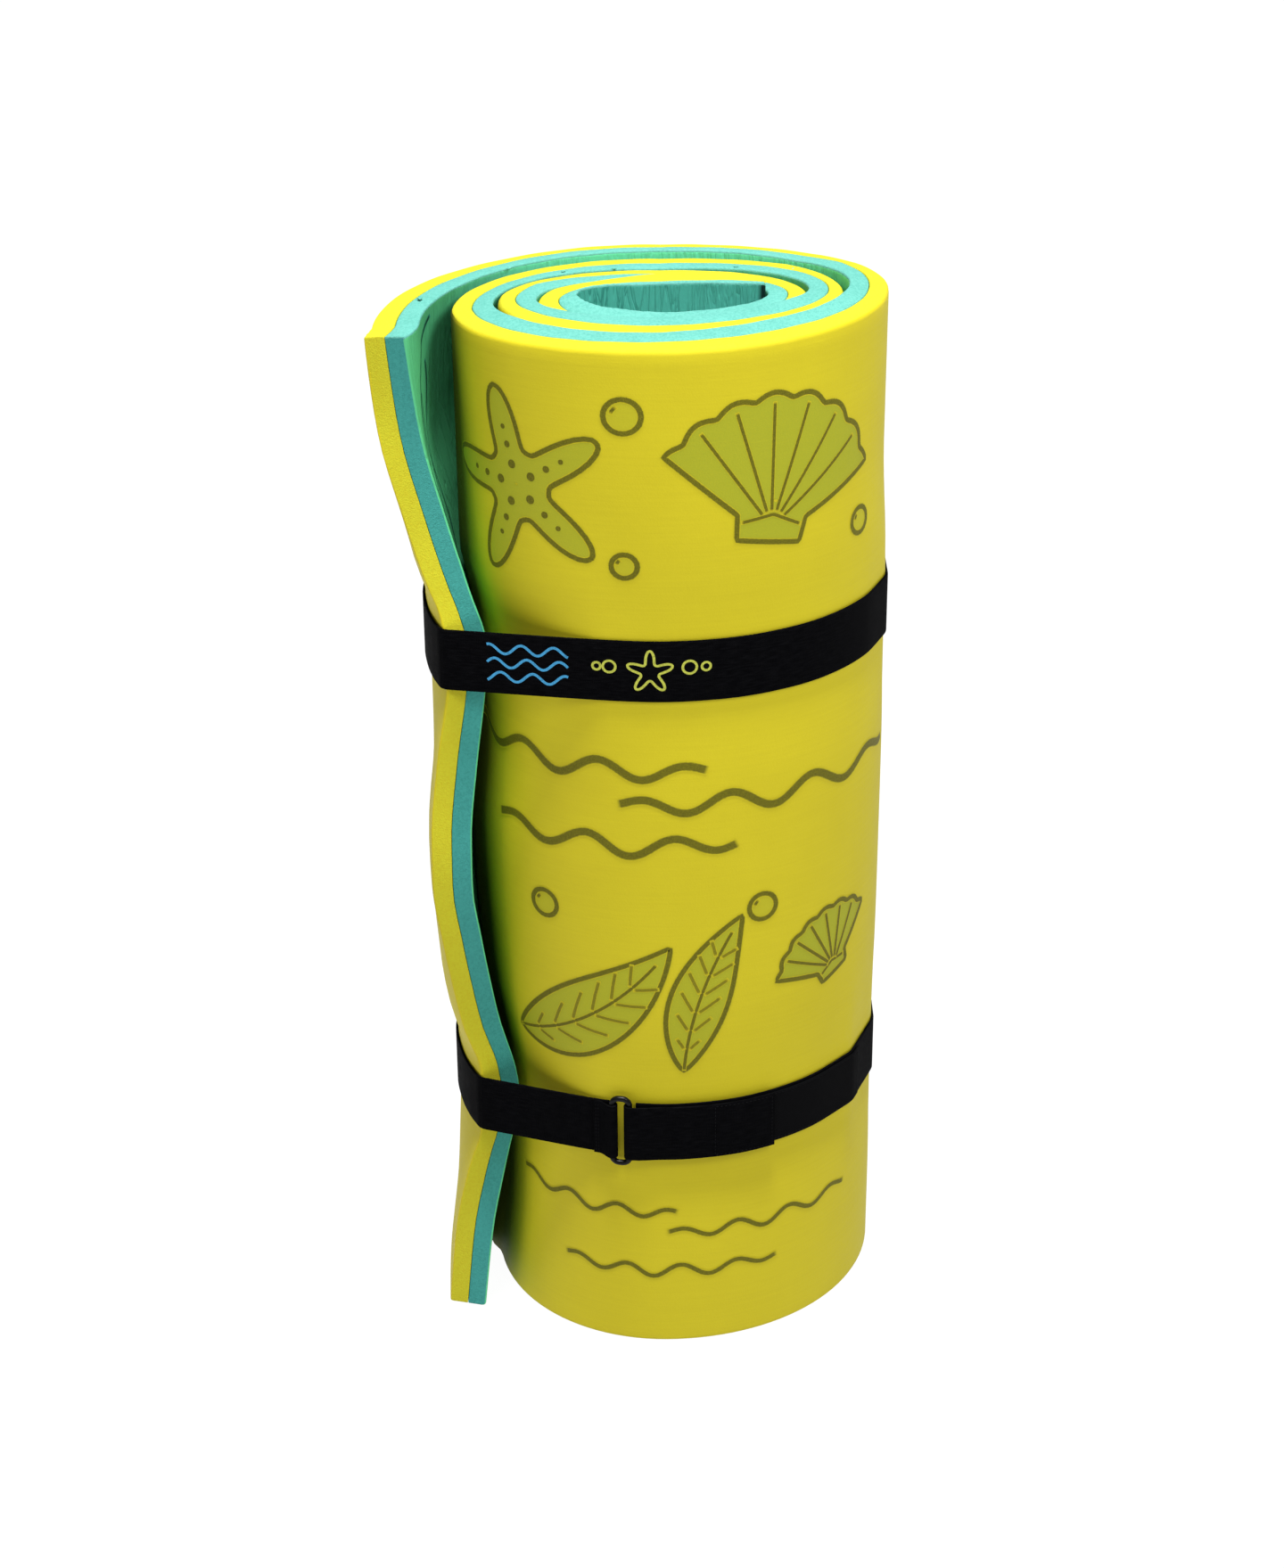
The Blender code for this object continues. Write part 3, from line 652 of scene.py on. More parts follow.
def pressed(outer, turns, z):
    """Outer points of the last turn, held in by the straps and free again above and below them."""
    loose = turns > 3.9
    fade = np.interp(turns[loose], (5.7, 6.3), PRESS_FADE)
    for path in paths.values():
        away = max(abs(z - path.z) - WEB / 2, 0.0)
        ray = outer[loose] - CENTRE
        far = norm(ray, axis=1)
        limit = path.radius(np.arctan2(ray[:, 1], ray[:, 0])) - 1.3 * SEAT
        held = far - np.maximum(0.0, far - limit) * np.exp(-((away / fade) ** 2))
        outer[loose] = CENTRE + ray * (held / far)[:, None]
    return outer


def section(z):
    """Inner and outer plan points of every column at a height, and their half turns."""
    flare, side, depth = (curve_through(table, z / H) for table in (END_FLARE, SIDE_FLARE, END_DEPTH))
    reach = SIDE_REACH + SIDE_FLARE_REACH * side
    gap = FLAP_GAP + FLARE_GAP * flare
    squeeze = max(0.0, CORE_LEFT + PITCH * 3 + 0.002 - reach)
    turns_made = [half_turn(k, z, squeeze, gap) for k in range(len(COLUMNS))]
    stretches = zip(wedge(z), *turns_made, flap(z, flare, depth, reach, gap))
    inner, outer, turns = map(np.concatenate, stretches)
    return inner + PLAN_XY, pressed(outer + PLAN_XY, turns, z), turns


def row_heights():
    """Heights of the mesh rows: close at the two edges and at the straps' edges."""
    edge = np.array((0, 0.0002, 0.0008, 0.0018, 0.0032, 0.005))
    above = np.array((0.013, 0.0258, 0.0275, 0.031, 0.036, 0.044))
    near = np.concatenate([-above[::-1], [0], above])
    low, high, clear = STRAP_Z["lower"], STRAP_Z["upper"], 0.056
    return np.concatenate([
        edge, np.linspace(0.016, low - clear, 9), low + near, np.linspace(low + clear, high - clear, 20),
        high + near, np.linspace(high + clear, H - 0.014, 13), (H - edge)[::-1]])


ROWS = row_heights()
INNER, OUTER, row_turns = map(np.array, zip(*(section(z) for z in ROWS)))
TURNS = row_turns[0]
LENGTHS = run_lengths((INNER[len(ROWS) // 2] + OUTER[len(ROWS) // 2]) / 2)


def wrinkles():
    """How far the core's wall stands proud: upright folds with tight creases, strongest at its left end."""
    places = (-0.5, -0.1, 0.25, 0.8, 1.3, 1.8, 5.95, 6.05, 6.38, 6.52)
    strength = np.interp(TURNS, places, (0.0, 0.9, 1.5, 0.9, 0.7, 0.0, 0.0, 0.7, 0.6, 0.0)) / 1000
    height = ROWS[:, None]
    strength = strength * np.where(TURNS > 4, smooth((height - 0.78) / 0.1), 1.0)
    phase = LENGTHS / 0.0085 + 0.9 * np.sin(LENGTHS * 61)
    phase = phase + 0.35 * np.sin(height * 23 + LENGTHS * 40) + 0.2 * np.sin(height * 71)
    return strength * (np.abs(np.sin(np.pi * phase)) ** 0.6 - 0.7)


def edge_rise(face):
    """How far the top edge of a face stands up: 0 is the inner face, 1 the bond, 2 the outer face."""
    rise = np.interp(TURNS, EDGE_RISE[:, 0], EDGE_RISE[:, face + 1] / 1000)
    return rise + 0.0002 * np.sin(LENGTHS * 37 + face) + 0.00012 * np.sin(LENGTHS * 171 + 2 * face)


def gape():
    """How far the top of the outer face draws back where a gap shows between two turns."""
    places = (1.75, 1.95, 2.25, 2.45, 2.60, 2.75, 3.35, 3.50, 3.62, 3.75)
    width = np.interp(TURNS, places, (0, 1, 1, 0.8, 1.3, 0, 0, 1.3, 1.3, 0))
    return 0.003 * width * smooth((ROWS[:, None] - 0.84) / 0.07)


def lean():
    """How far the top of the core's back wall lies back."""
    width = np.interp(TURNS, (-0.4, -0.1, 0.3, 0.55), (0, 1, 1, 0))
    return 0.008 * width * smooth((ROWS[:, None] - 0.70) / 0.214)


def ply(name, outermost, materials, node):
    """One ply of the mat: a closed sheet with rounded edges. Returns the grid of its showing face."""
    span = OUTER - INNER
    thick = norm(span, axis=2)
    unit = span / thick[..., None]
    low = thick / 2 + BOND / 2 if outermost else np.zeros_like(thick)
    high = thick if outermost else thick / 2 - BOND / 2
    widest = 0.42 * (high - low)
    from_foot, from_top = ROWS[:, None], (H - ROWS)[:, None]
    from_end = np.minimum(LENGTHS, LENGTHS[-1] - LENGTHS)[None, :]
    draws = []
    top_round = TOP_ROUNDS[outermost] + FLAP_ROUND_CHANGE[outermost] * smooth((TURNS - 6.2) / 0.5)
    showing = ((from_top, top_round), (from_foot, FOOT_ROUNDS[outermost]), (from_end, END_ROUND))
    bonded = ((from_top, BOND_ROUND), (from_foot, BOND_ROUND / 2), (from_end, BOND_ROUND / 2))
    for rounds in (bonded, showing) if outermost else (showing, bonded):
        top, foot, end = (inset(away, np.minimum(radius, widest)) for away, radius in rounds)
        draws.append(np.maximum(np.maximum(top, foot), end))
    if outermost:
        high = high - gape()
    else:
        low = low + lean() - wrinkles()
    shorten = inset(from_end, END_ROUND)
    lifted = smooth((ROWS - 0.80) / (H - 0.80))[:, None]
    grids, uvs = [], []
    for face, offset in enumerate((low + draws[0], high - draws[1])):
        z = shorten + (H - 2 * shorten) * (ROWS / H)[:, None] + edge_rise(face + outermost) * lifted
        grids.append(np.concatenate([INNER + unit * offset[..., None], z[..., None]], -1))
        uvs.append(paired(LENGTHS, z).reshape(-1, 2))

    rows, columns = thick.shape
    corners, parts = closed_sheet(rows, columns)
    skin, cut, rim = range(3)
    sides = np.full((2, columns - 1, rows - 1), cut)
    sides[outermost] = skin
    sides[..., 1 - RIM_ROWS:] = rim
    slots = sides.ravel().tolist()
    for slot, part in zip((cut, cut, cut, rim), parts[2:]):
        slots += [slot] * len(part)
    verts = np.concatenate([grid.reshape(-1, 3) for grid in grids])
    made = add_mesh(name, verts, sum(parts, []), materials, "roll", slots, np.concatenate(uvs))
    made.data.set_sharp_from_angle(angle=math.radians(38))
    rims = {int(corner): (face, j) for face in (0, 1) for j in (0, -1) for corner in corners[face, :, j]}
    for edge in made.data.edges:
        first, second = (rims.get(corner) for corner in edge.vertices)
        if first is not None and first == second:
            edge.use_edge_sharp = True
    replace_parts(made, node)
    return grids[outermost]


outer_grid = ply("outer_ply_foam", 1, (yellow_skin, yellow_cut, yellow_cut), "mat_outer_ply")
inner_grid = ply("inner_ply_foam", 0, (teal_skin, teal_cut, teal_rim_painted_light), "mat_inner_ply")


# Generic line print

class Sheet:
    """Places on a face of the mat by length along that face and height."""

    def __init__(self, grid, side):
        self.grid = grid
        self.u = run_lengths(grid[len(ROWS) // 2])
        self.z = grid[:, grid.shape[1] // 2, 2]
        normal = np.cross(np.gradient(grid, axis=1), np.gradient(grid, axis=0)) * side
        self.normals = normal / np.maximum(norm(normal, axis=2), 1e-12)[..., None]

    def turn(self, turns):
        """Length along the face at a number of half turns."""
        return float(np.interp(turns, TURNS, self.u))

    def sample(self, values, u, z):
        column = np.interp(u, self.u, np.arange(len(self.u)))
        row = np.interp(z, self.z, np.arange(len(self.z)))
        j = np.minimum(column.astype(int), len(self.u) - 2)
        i = np.minimum(row.astype(int), len(self.z) - 2)
        a, b = (column - j)[:, None], (row - i)[:, None]
        low = values[i, j] * (1 - a) + values[i, j + 1] * a
        high = values[i + 1, j] * (1 - a) + values[i + 1, j + 1] * a
        return low * (1 - b) + high * b

    def place(self, u, z):
        return self.sample(self.grid, u, z), self.sample(self.normals, u, z)


class Band:
    """Places on the outer face of a strap."""

    def __init__(self, path):
        self.path = path

    def place(self, u, z):
        plan, normal = self.path.at(u, SEAT + WEB_THICK), self.path.normal(u)
        return np.column_stack([plan, z]), np.column_stack([normal, np.zeros(len(u))])


def resampled(points, step):
    """Points at even distances along a line."""
    points = np.array(points, float)
    spans = run_lengths(points)
    at = np.linspace(0, spans[-1], max(4, int(spans[-1] / step)))
    return along(points, spans, at)


class Print:
    """Lines and filled shapes that lie on a surface."""

    def __init__(self, surface, lift):
        self.surface = surface
        self.lift = lift
        self.verts, self.normals, self.coords, self.faces = [], [], [], []
        self.count = 0

    def patch(self, places, strength, across_line=0):
        """A grid of points on the surface, each grid a little further out than the one before."""
        rows, columns = places.shape[:2]
        flat = places.reshape(-1, 2)
        points, normals = self.surface.place(flat[:, 0], flat[:, 1])
        self.lift += 1.5e-6
        self.verts.append(points + normals * self.lift)
        self.normals.append(normals)
        inked = np.broadcast_arrays(across_line, strength, places[..., 0])[:2]
        self.coords.append(np.stack(inked, -1).reshape(-1, 2))
        grid = points.reshape(rows, columns, 3)
        across, onward = grid[:-1, 1:] - grid[:-1, :-1], grid[1:, :-1] - grid[:-1, :-1]
        turn = (np.cross(across, onward) * normals.reshape(rows, columns, 3)[:-1, :-1]).sum()
        faces = quads(self.count + np.arange(rows * columns).reshape(rows, columns))
        self.faces += faces if turn > 0 else [face[::-1] for face in faces]
        self.count += rows * columns

    def line(self, points, width=OUTLINE, strength=1.0, closed=False):
        """A drawn line with soft sides, which fades at its open ends."""
        points = np.array(points, float)
        if closed:
            points = np.concatenate([points, points[:1]])
        spine = resampled(points, min(0.003, width * 0.7))
        step = np.gradient(spine, axis=0)
        if closed:
            step[0] = step[-1] = spine[1] - spine[-2]
        step /= np.maximum(norm(step, axis=1), 1e-9)[:, None]
        side = paired(-step[:, 1], step[:, 0])
        places = np.stack([spine + side * width * k for k in (-0.6, 0, 0.6)], 1)
        strengths = np.full((len(spine), 1), strength)
        if not closed:
            strengths[[0, -1]] = 0
        self.patch(places, strengths, (-1, 0, 1))

    def fan(self, hub, outline, strength):
        """A filled shape, all of whose outline can be seen from its hub."""
        around = norm(np.diff(outline, axis=0), axis=1).sum()
        outline = resampled(np.concatenate([outline, outline[:1]]), min(0.004, around / 14))
        rings = 3 + int(norm(outline - hub, axis=1).max() / 0.005)
        self.patch(np.stack([hub + (outline - hub) * k for k in np.linspace(0.02, 1, rings)]), strength)

    def build(self, name, material, body="roll"):
        joined = [np.concatenate(part) for part in (self.verts, self.coords, self.normals)]
        return add_mesh(name, joined[0], self.faces, (material,), body, None, joined[1], joined[2])


def placing(u, z, size, angle):
    """A function that scales and turns local points and sets them on the sheet."""
    cosine, sine = math.cos(angle) * size, math.sin(angle) * size
    return lambda points: np.array(points, float) @ ((cosine, sine), (-sine, cosine)) + (u, z)


def circle(u, z, radius, count):
    """A closed line round a place, counter-clockwise."""
    return round_points(u, z, radius, np.linspace(0, 2 * math.pi, count, endpoint=False))


def star_points(count, waist, sharpness):
    """Outline of a five-armed star of radius 1."""
    theta = np.linspace(0, 2 * math.pi, count, endpoint=False)
    radius = waist + (1 - waist) * ((1 + np.cos(5 * theta)) / 2) ** sharpness
    return round_points(0, 0, radius, math.pi / 2 - theta)


class Motifs:
    """Simple sea motifs, each an outline with a light tint inside."""

    def __init__(self, sheet):
        self.lines, self.fills = Print(sheet, 0.00024), Print(sheet, 0.00014)

    def shell(self, u, z, size, angle=0.0):
        """A fan shell with ribs between its lobes."""
        put = placing(u, z, size, angle)
        spread, lobes, hinge = math.radians(64), 7, -0.35
        theta = np.linspace(-spread, spread, 92)
        edge = 1 + 0.055 * np.abs(np.sin(theta * lobes * math.pi / 2 / spread))
        arc = round_points(0, hinge, edge, math.pi / 2 - theta)
        ears = [(0.30, -0.27), (0.27, -0.47), (-0.27, -0.47), (-0.30, -0.27)]
        outline = put(np.concatenate([arc, ears]))
        self.fills.fan(put((0, -0.15)), outline, 0.95)
        self.lines.line(outline, closed=True)
        for k in range(1, lobes):
            a = math.pi / 2 - spread * (2 * k / lobes - 1)
            self.lines.line(put(round_points(0, hinge, np.array((0.12, 0.3, 0.6, 0.985)), a)), FINE)
        self.lines.line(put([(-0.26, -0.33), (0, -0.25), (0.26, -0.33)]), FINE)

    def star(self, u, z, size, angle=0.0):
        """A five-armed star with rows of dots."""
        put = placing(u, z, size, angle)
        outline = put(star_points(120, 0.36, 1.9))
        self.fills.fan((u, z), outline, 0.85)
        self.lines.line(outline, closed=True)
        for arm in range(5):
            for r in (0.20, 0.40, 0.58):
                dot = put(round_points(0, 0, r, math.pi / 2 - 2 * math.pi * arm / 5))
                self.lines.fan(dot, circle(*dot, 0.0045 - 0.004 * r, 14), 1.0)

    def bubble(self, u, z, radius):
        outline = circle(u, z, radius, 40)
        self.fills.fan((u, z), outline, 0.5)
        self.lines.line(outline, closed=True)
        self.lines.line(round_points(u, z, 0.62 * radius, np.linspace(2.0, 3.0, 8)), FINE)

    def ripple(self, u, z, length, height, period, width=OUTLINE):
        t = np.linspace(0, 1, int(length / 0.003))
        swell = height * np.sin(math.pi * t) ** 0.4
        wave = z + swell * np.sin(2 * math.pi * length * t / period)
        self.lines.line(paired(u + length * (t - 0.5), wave), width)

    def frond(self, u, z, length, angle, bend=0.5, breadth=0.17):
        """A long leaf with a middle vein and side veins."""
        t = np.linspace(0, 1, 60)
        heading = angle + bend * (t - 0.5)
        ahead = paired(np.cos(heading), np.sin(heading))
        spine = np.cumsum(ahead, 0) * length / 59 + (u, z)
        side = paired(-np.sin(heading), np.cos(heading))
        half = length * breadth * np.sin(math.pi * t**0.85) ** 0.9
        left, right = spine + side * half[:, None], spine - side * half[:, None]
        self.fills.patch(np.stack([right + (left - right) * k for k in np.linspace(0, 1, 13)], 1), 0.85)
        self.lines.line(np.concatenate([left, right[::-1]]), closed=True)
        self.lines.line(spine[:54], FINE)
        for k in range(8, 50, 7):
            for out in (-side[k], side[k]):
                tip = spine[k] + (ahead[k] * 0.75 + out * 0.72) * half[k]
                bow = (spine[k] + tip) / 2 + out * half[k] * 0.05
                self.lines.line([spine[k] + out * 0.002, bow, tip], FINE, 0.85)

    def scene_at(self, u):
        """One repeat of the print, about half a metre long."""
        self.star(u - 0.118, 0.795, 0.082, 0.25)
        self.shell(u + 0.095, 0.800, 0.104, -0.18)
        for offset, z, radius in ((-0.030, 0.862, 0.014), (-0.030, 0.738, 0.010), (0.185, 0.745, 0.011)):
            self.bubble(u + offset, z, radius)
        for offset, z, length in ((-0.095, 0.560, 0.26), (0.100, 0.530, 0.28), (-0.050, 0.492, 0.22)):
            self.ripple(u + offset, z, length, 0.009, 0.075, 0.0075)
        self.frond(u - 0.150, 0.288, 0.190, 0.62, 0.7)
        self.frond(u + 0.015, 0.275, 0.155, 1.25, -0.5, 0.16)
        self.shell(u + 0.150, 0.365, 0.058, 0.35)
        for offset, z in ((0.082, 0.428), (-0.105, 0.425)):
            self.bubble(u + offset, z, 0.012)
        for offset, z, length in ((-0.075, 0.135, 0.17), (0.090, 0.115, 0.18), (0.000, 0.075, 0.20)):
            self.ripple(u + offset, z, length, 0.006, 0.050)


yellow_sheet = Sheet(outer_grid, 1)
motifs = Motifs(yellow_sheet)

# Distance between two repeats of the print, how far one reaches past its middle, and its first half turn
REPEAT, SCENE_REACH, FIRST_TURN = 0.50, 0.23, 5.0
for middle in np.arange(yellow_sheet.turn(FIRST_TURN), yellow_sheet.u[-1] - SCENE_REACH, REPEAT):
    motifs.scene_at(middle)
motifs.lines.build("print_lines", line_ink)
motifs.fills.build("print_fills", fill_ink)

teal_sheet = Sheet(inner_grid, -1)
weeds = Print(teal_sheet, 0.00024)

# Swaying blades on the flap's inner face: distance from the end, foot, top and sway; then one long stem
BLADES = ((0.040, 0.700, 0.850, -0.006), (0.058, 0.690, 0.805, 0.008), (0.074, 0.700, 0.862, 0.007),
          (0.092, 0.690, 0.880, -0.009), (0.128, 0.300, 0.560, 0.006), (0.060, 0.330, 0.520, 0.005),
          (0.028, 0.340, 0.470, -0.004))
STEM = ((0.125, 0.9115), (0.102, 0.902), (0.080, 0.890), (0.058, 0.874), (0.042, 0.850), (0.032, 0.820),
        (0.028, 0.770))
t = np.linspace(0, 1, 50)
for back, low, high, sway in BLADES:
    u = teal_sheet.u[-1] - back + sway * np.sin(2 * math.pi * t * 1.4) + 0.012 * t * t * np.sign(sway)
    weeds.line(paired(u, low + (high - low) * t), 0.0028)
weeds.line([(teal_sheet.u[-1] - back, z) for back, z in STEM], 0.0030)
weeds.build("print_lines_inside", green_ink)

# Waves, and a star between rings, on the front of the upper strap
front, z = paths["upper"].front_place, STRAP_Z["upper"]
waves, rings = (Print(Band(paths["upper"]), 0.00012) for _ in range(2))
t = np.linspace(0, 1, 60)
for rise in (-0.011, 0.001, 0.013):
    wave = z + rise + 0.004 * np.sin(t * 5 * math.pi + rise * 90)
    waves.line(paired(front(-0.120) * (1 - t) + front(-0.056) * t, wave), 0.0019)
waves.build("strap_marks_cyan", cyan_ink)
hub = front(0.008)
rings.line(0.0185 * star_points(89, 0.40, 1.7) + (hub, z), 0.0018, closed=True)
clockwise = math.pi / 2 - np.linspace(0, 2 * math.pi, 89, endpoint=False)
for step, size in ((-0.032, 0.0050), (0.031, 0.0055), (0.044, 0.0035), (-0.042, 0.0032)):
    rings.line(round_points(hub + step, z + 0.004, size, clockwise), 0.0017, closed=True)
rings.build("strap_marks_lime", lime_ink)


def crumb(index, x, y, length):
    """A torn flake of foam that stands on the top edge."""
    rim = np.concatenate([inner_grid[-1], outer_grid[-1]])
    top = rim[np.argmin(np.hypot(rim[:, 0] - x, rim[:, 1] - y)), 2] + length * 0.12
    work = bmesh.new()
    bmesh.ops.create_icosphere(work, subdivisions=2, radius=0.5)
    work.verts.index_update()
    faces = [[vertex.index for vertex in face.verts] for face in work.faces]
    turn = Matrix.Rotation(random.uniform(0, math.pi), 3, "Z")
    verts = []
    for vertex in work.verts:
        a, b, c = vertex.co
        ragged = 1 + 0.35 * math.sin(9 * a + 5 * c + index) * math.cos(7 * b)
        verts.append(turn @ Vector((a, b * 0.5, c * 0.3)) * length * ragged + Vector((x, y, top)))
    work.free()
    add_mesh("foam_crumb_%d" % index, verts, faces, (teal_rim_painted_light,), "roll")


# Crumbs that the saw left on the teal edges: plan place of each and its length
CRUMBS = ((-0.131, 0.022, 0.006), (-0.088, 0.0146, 0.004), (-0.0946, -0.0136, 0.004), (-0.048, 0.0225, 0.004),
          (-0.199, -0.0516, 0.007), (0.012, -0.0045, 0.005), (0.050, 0.0215, 0.004), (0.095, 0.016, 0.004))
for number, (x, y, length) in enumerate(CRUMBS):
    crumb(number, x + PLAN.x, y + PLAN.y, length)


# Straps

# The webbing's section: share of half the width and of half the thickness
SELVEDGES = ((-1, 0.45), (-0.985, 0.85), (-0.95, 1), (-0.5, 1), (0, 1), (0.5, 1), (0.95, 1), (0.985, 0.85),
             (1, 0.45))


def strip(name, pairs, z, width, material, body):
    """Webbing that stands on edge along plan pairs, near face and far face, with soft selvedges."""
    near, far = np.array(pairs).transpose(1, 0, 2)
    middle, half = (near + far) / 2, (far - near) / 2
    travelled = run_lengths(middle)
    verts, uvs = [], []
    for side in (-1, 1):
        for height, share in SELVEDGES:
            places = paired(travelled, height * width / 2)
            verts.append(np.column_stack([middle + half * side * share, z + places[:, 1]]))
            uvs.append(places)
    faces = sum(closed_sheet(len(verts) // 2, len(pairs))[1], [])
    return add_mesh(name, np.concatenate(verts), faces, (material,), body, None, np.concatenate(uvs))


def stretch(path, start, end, low_start, low_end, thick, step=0.0025):
    """Pairs along a path, easing from one height over the outline to another."""
    t = np.linspace(0, 1, max(2, int(abs(end - start) / step)) + 1)
    places = start + (end - start) * t
    low = low_start + (low_end - low_start) * smooth(t)
    return list(zip(path.at(places, low), path.at(places, low + thick)))


def fold(path, side):
    """Pairs of the webbing's fold round one of the ring's bars."""
    hub = path.bars[side > 0]
    angles = np.linspace(0, math.pi, 25)[:, None]
    rays = -side * path.heading * np.sin(angles) - path.out * np.cos(angles)
    return list(zip(hub + rays * FOLD_RADIUS, hub + rays * (FOLD_RADIUS + WEB_THICK)))


# Stitches: step, share of the step that each covers with its middle, radius, and faces
STITCH_STEP, STITCH_SPAN, STITCH_RADIUS = 0.0034, (0.12, 0.5, 0.80), 0.00035
STITCH_FACES = ((0, 1, 4), (1, 2, 4), (2, 5, 4), (2, 3, 5), (3, 0, 5), (0, 4, 5), (0, 3, 2, 1))


def stitches(name, path, seams, out, body):
    """Raised stitches this far out from the outline along seams: two places, and the heights of the two."""
    verts, faces = [], []
    for start, end, z_start, z_end in seams:
        count = max(1, int(max(abs(end - start), abs(z_end - z_start)) / STITCH_STEP))
        for i in range(count):
            first, middle, last = (start + (end - start) * (i + k) / count for k in STITCH_SPAN)
            heights = (z_start + (z_end - z_start) * (i + k) / count for k in STITCH_SPAN[::2])
            a, b = (Vector((*path.at(place, out), z)) for place, z in zip((first, last), heights))
            crown = Vector((*path.normal(middle), 0)) * STITCH_RADIUS
            side, centre = (b - a).normalized().cross(crown), (a + b) / 2
            faces += [[len(verts) + corner for corner in face] for face in STITCH_FACES]
            verts += [a, centre + side, b, centre - side]
            verts += [centre + crown + side * 0.3, centre + crown - side * 0.3]
    add_mesh(name, verts, faces, (thread,), body)


def ring(name, path, body, node):
    """Moulded rectangular ring: a round bar led round a rounded rectangle."""
    half_height, corner, bar, sides = 0.032, 0.0062, 0.0025, 24
    route = []
    for quarter, (x, y) in enumerate(((1, 1), (-1, 1), (-1, -1), (1, -1))):
        x, y = x * (path.reach - corner), y * (half_height - corner)
        route.append(round_points(x, y, corner, math.pi / 2 * (quarter + np.linspace(0, 1, 10))))
    route = np.concatenate(route)
    heading = np.roll(route, -1, 0) - np.roll(route, 1, 0)
    heading /= norm(heading, axis=1)[:, None]
    tube = round_points(0, 0, bar, np.arange(sides) * 2 * math.pi / sides)
    x = route[:, :1] + heading[:, 1:] * tube[:, 0]
    z = route[:, 1:] - heading[:, :1] * tube[:, 0]
    plan = path.middle + x[..., None] * path.heading + tube[:, 1, None] * path.out
    verts = np.concatenate([plan, path.z + z[..., None]], -1).reshape(-1, 3)
    corners = np.pad(np.arange(len(verts)).reshape(-1, sides), ((0, 1), (0, 1)), "wrap")
    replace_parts(add_mesh(name, verts, quads(corners), (ring_black,), body), node)


def strap(which):
    """One strap: band with its hem, loop tape, ring, and the tail with its hook tape."""
    path = paths[which]
    top = path.bar_height + FOLD_RADIUS
    clear = math.sqrt((FOLD_RADIUS + WEB_THICK) ** 2 - FOLD_RADIUS**2) + FOLD_CLEARANCE
    rise = path.length - path.reach - RISE_LENGTH
    under = stretch(path, path.reach + clear, rise, SEAT, SEAT, WEB_THICK, 0.003)
    at_ring = path.bar_height - FOLD_RADIUS - WEB_THICK
    under += stretch(path, rise, path.length - path.reach, SEAT, at_ring, WEB_THICK)[1:]
    pairs = [(far, near) for near, far in under] + fold(path, -1)[1:]
    pairs += stretch(path, -HEM_FLAT, -path.reach, HEM_LOW, top, WEB_THICK, 0.0012)[::-1][1:]
    pairs += stretch(path, -HEM_END, -HEM_FLAT, HEM_LOW, HEM_LOW, WEB_THICK, 0.0015)[::-1][1:]
    band = strip(which + "_webbing_band", pairs, path.z, WEB, web_black, "roll")
    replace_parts(band, which + "_strap_band")

    for kind, span, low, thick, material, body in (
            ("loop", LOOP_SPAN, HEM_LOW, LOOP_THICK, loop_black, "roll"),
            ("hook", HOOK_SPAN, HOOK_LOW, HOOK_THICK, hook_black, which + "_tail")):
        pairs = stretch(path, *span, low, low, thick)
        patch = strip(which + "_%s_tape" % kind, pairs, path.z, WEB - TAPE_NARROWER, material, body)
        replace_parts(patch, which + "_%s_patch" % kind)
    pairs = fold(path, 1) + stretch(path, path.reach, TAIL_FLAT, top, TAIL_LOW, WEB_THICK, 0.0015)[1:]
    pairs += stretch(path, TAIL_FLAT, TAIL_END, TAIL_LOW, TAIL_LOW, WEB_THICK)[1:]
    tail = strip(which + "_webbing_tail", pairs, path.z, WEB, web_black, which + "_tail")
    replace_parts(tail, which + "_tail")
    ring(which + "_ring_moulded", path, which + "_ring", which + "_ring")

    low, high = path.z - WEB / 2 + SEAM_MARGIN, path.z + WEB / 2 - SEAM_MARGIN
    hem, tail = ([(place, place, low, high) for place in places] for places in (HEM_SEAMS, TAIL_SEAMS))
    tail += [(*TAIL_SEAMS, z, z) for z in (low, high)]
    inward = LOOP_SEAM_MARGIN - SEAM_MARGIN
    loop = [(*LOOP_SEAMS, z, z) for z in (low + inward, high - inward)]
    loop.append((LOOP_END_SEAM, LOOP_END_SEAM, low, high))
    stitches(which + "_hem_stitches", path, hem, HEM_LOW + WEB_THICK, "roll")
    stitches(which + "_tail_stitches", path, tail, TAIL_LOW + WEB_THICK, which + "_tail")
    stitches(which + "_loop_stitches", path, loop, HEM_LOW + LOOP_THICK, "roll")


for which in STRAP_Z:
    strap(which)


# Floor, light and camera

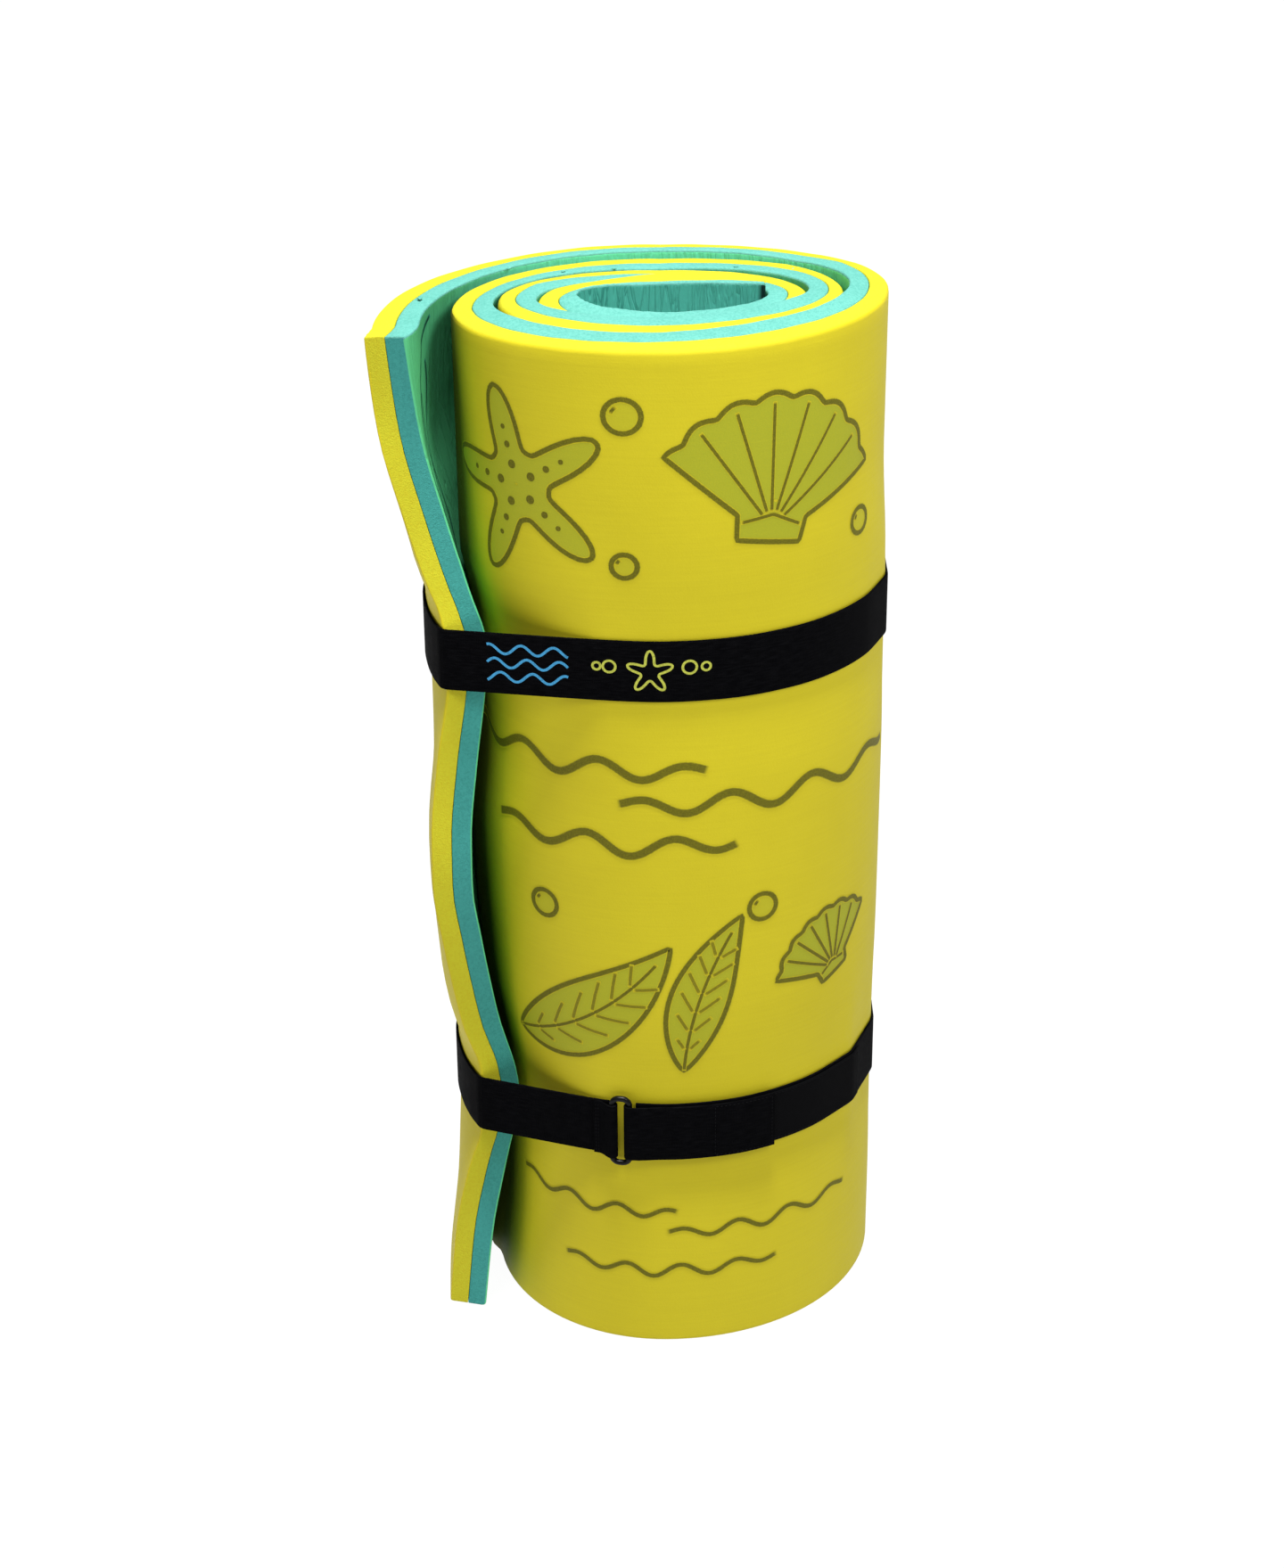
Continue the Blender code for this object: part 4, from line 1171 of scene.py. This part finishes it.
def floor():
    """A plain floor that also gives off light, so that it is as white as in the photograph."""
    work = bmesh.new()
    bmesh.ops.create_grid(work, x_segments=2, y_segments=2, size=14.0)
    mesh = bpy.data.meshes.new("studio_floor")
    work.to_mesh(mesh)
    work.free()
    pale = Shader("studio_floor", (0.05, 0.05, 0.05), 0.9, Specular_IOR_Level=0.0,
                  Emission_Color=(1, 1, 1, 1), Emission_Strength=0.97)
    mesh.materials.append(pale.material)
    placed("studio_floor", mesh)


def light(name, kind, place, target, power, **settings):
    data = bpy.data.lights.new(name, kind)
    data.energy = power
    for key, value in settings.items():
        setattr(data, key, value)
    made = placed(name, data)
    made.location = place
    made.rotation_euler = (Vector(target) - Vector(place)).to_track_quat("-Z", "Y").to_euler()
    made.visible_camera = False


floor()
world = bpy.data.worlds.new("studio")
bpy.context.scene.world = world
world.use_nodes = True
background = world.node_tree.nodes["Background"]
background.inputs["Color"].default_value = (1, 1, 1, 1)
background.inputs["Strength"].default_value = 0.12
light("overhead", "SUN", (-0.02, -0.26, 3.0), (0, 0, 0), 5.4, angle=math.radians(12))
SOFT_BOX = {"shape": "RECTANGLE", "size": 0.6, "size_y": 0.8, "spread": math.radians(90)}
light("left", "AREA", (-1.2, -1.5, 2.4), (0, 0, 0.95), 1.5, **SOFT_BOX)
light("right", "AREA", (1.15, -1.4, 2.4), (0, 0, 0.95), 7.2, **SOFT_BOX)

# Camera fitted to the photograph: focal length and frame height in pixels, place in the plan and angles
FOCAL_PIXELS, FRAME_PIXELS = 3643.0, 1759.0
CAMERA_PLACE = Vector((-0.02866, -2.4718, 1.7492))
LOOKS_DOWN, LEANS = math.radians(27.57), math.radians(-0.45)
camera_data = bpy.data.cameras.new("camera")
camera_data.sensor_fit = "VERTICAL"
camera_data.sensor_height = 36.0
camera_data.lens = FOCAL_PIXELS / FRAME_PIXELS * camera_data.sensor_height
camera = placed("camera", camera_data)
tilt = Matrix.Rotation(math.pi / 2 - LOOKS_DOWN, 4, "X") @ Matrix.Rotation(LEANS, 4, "Z")
camera.matrix_world = Matrix.Translation(CAMERA_PLACE + PLAN) @ tilt
bpy.context.scene.camera = camera
bpy.context.scene.view_settings.view_transform = "Standard"
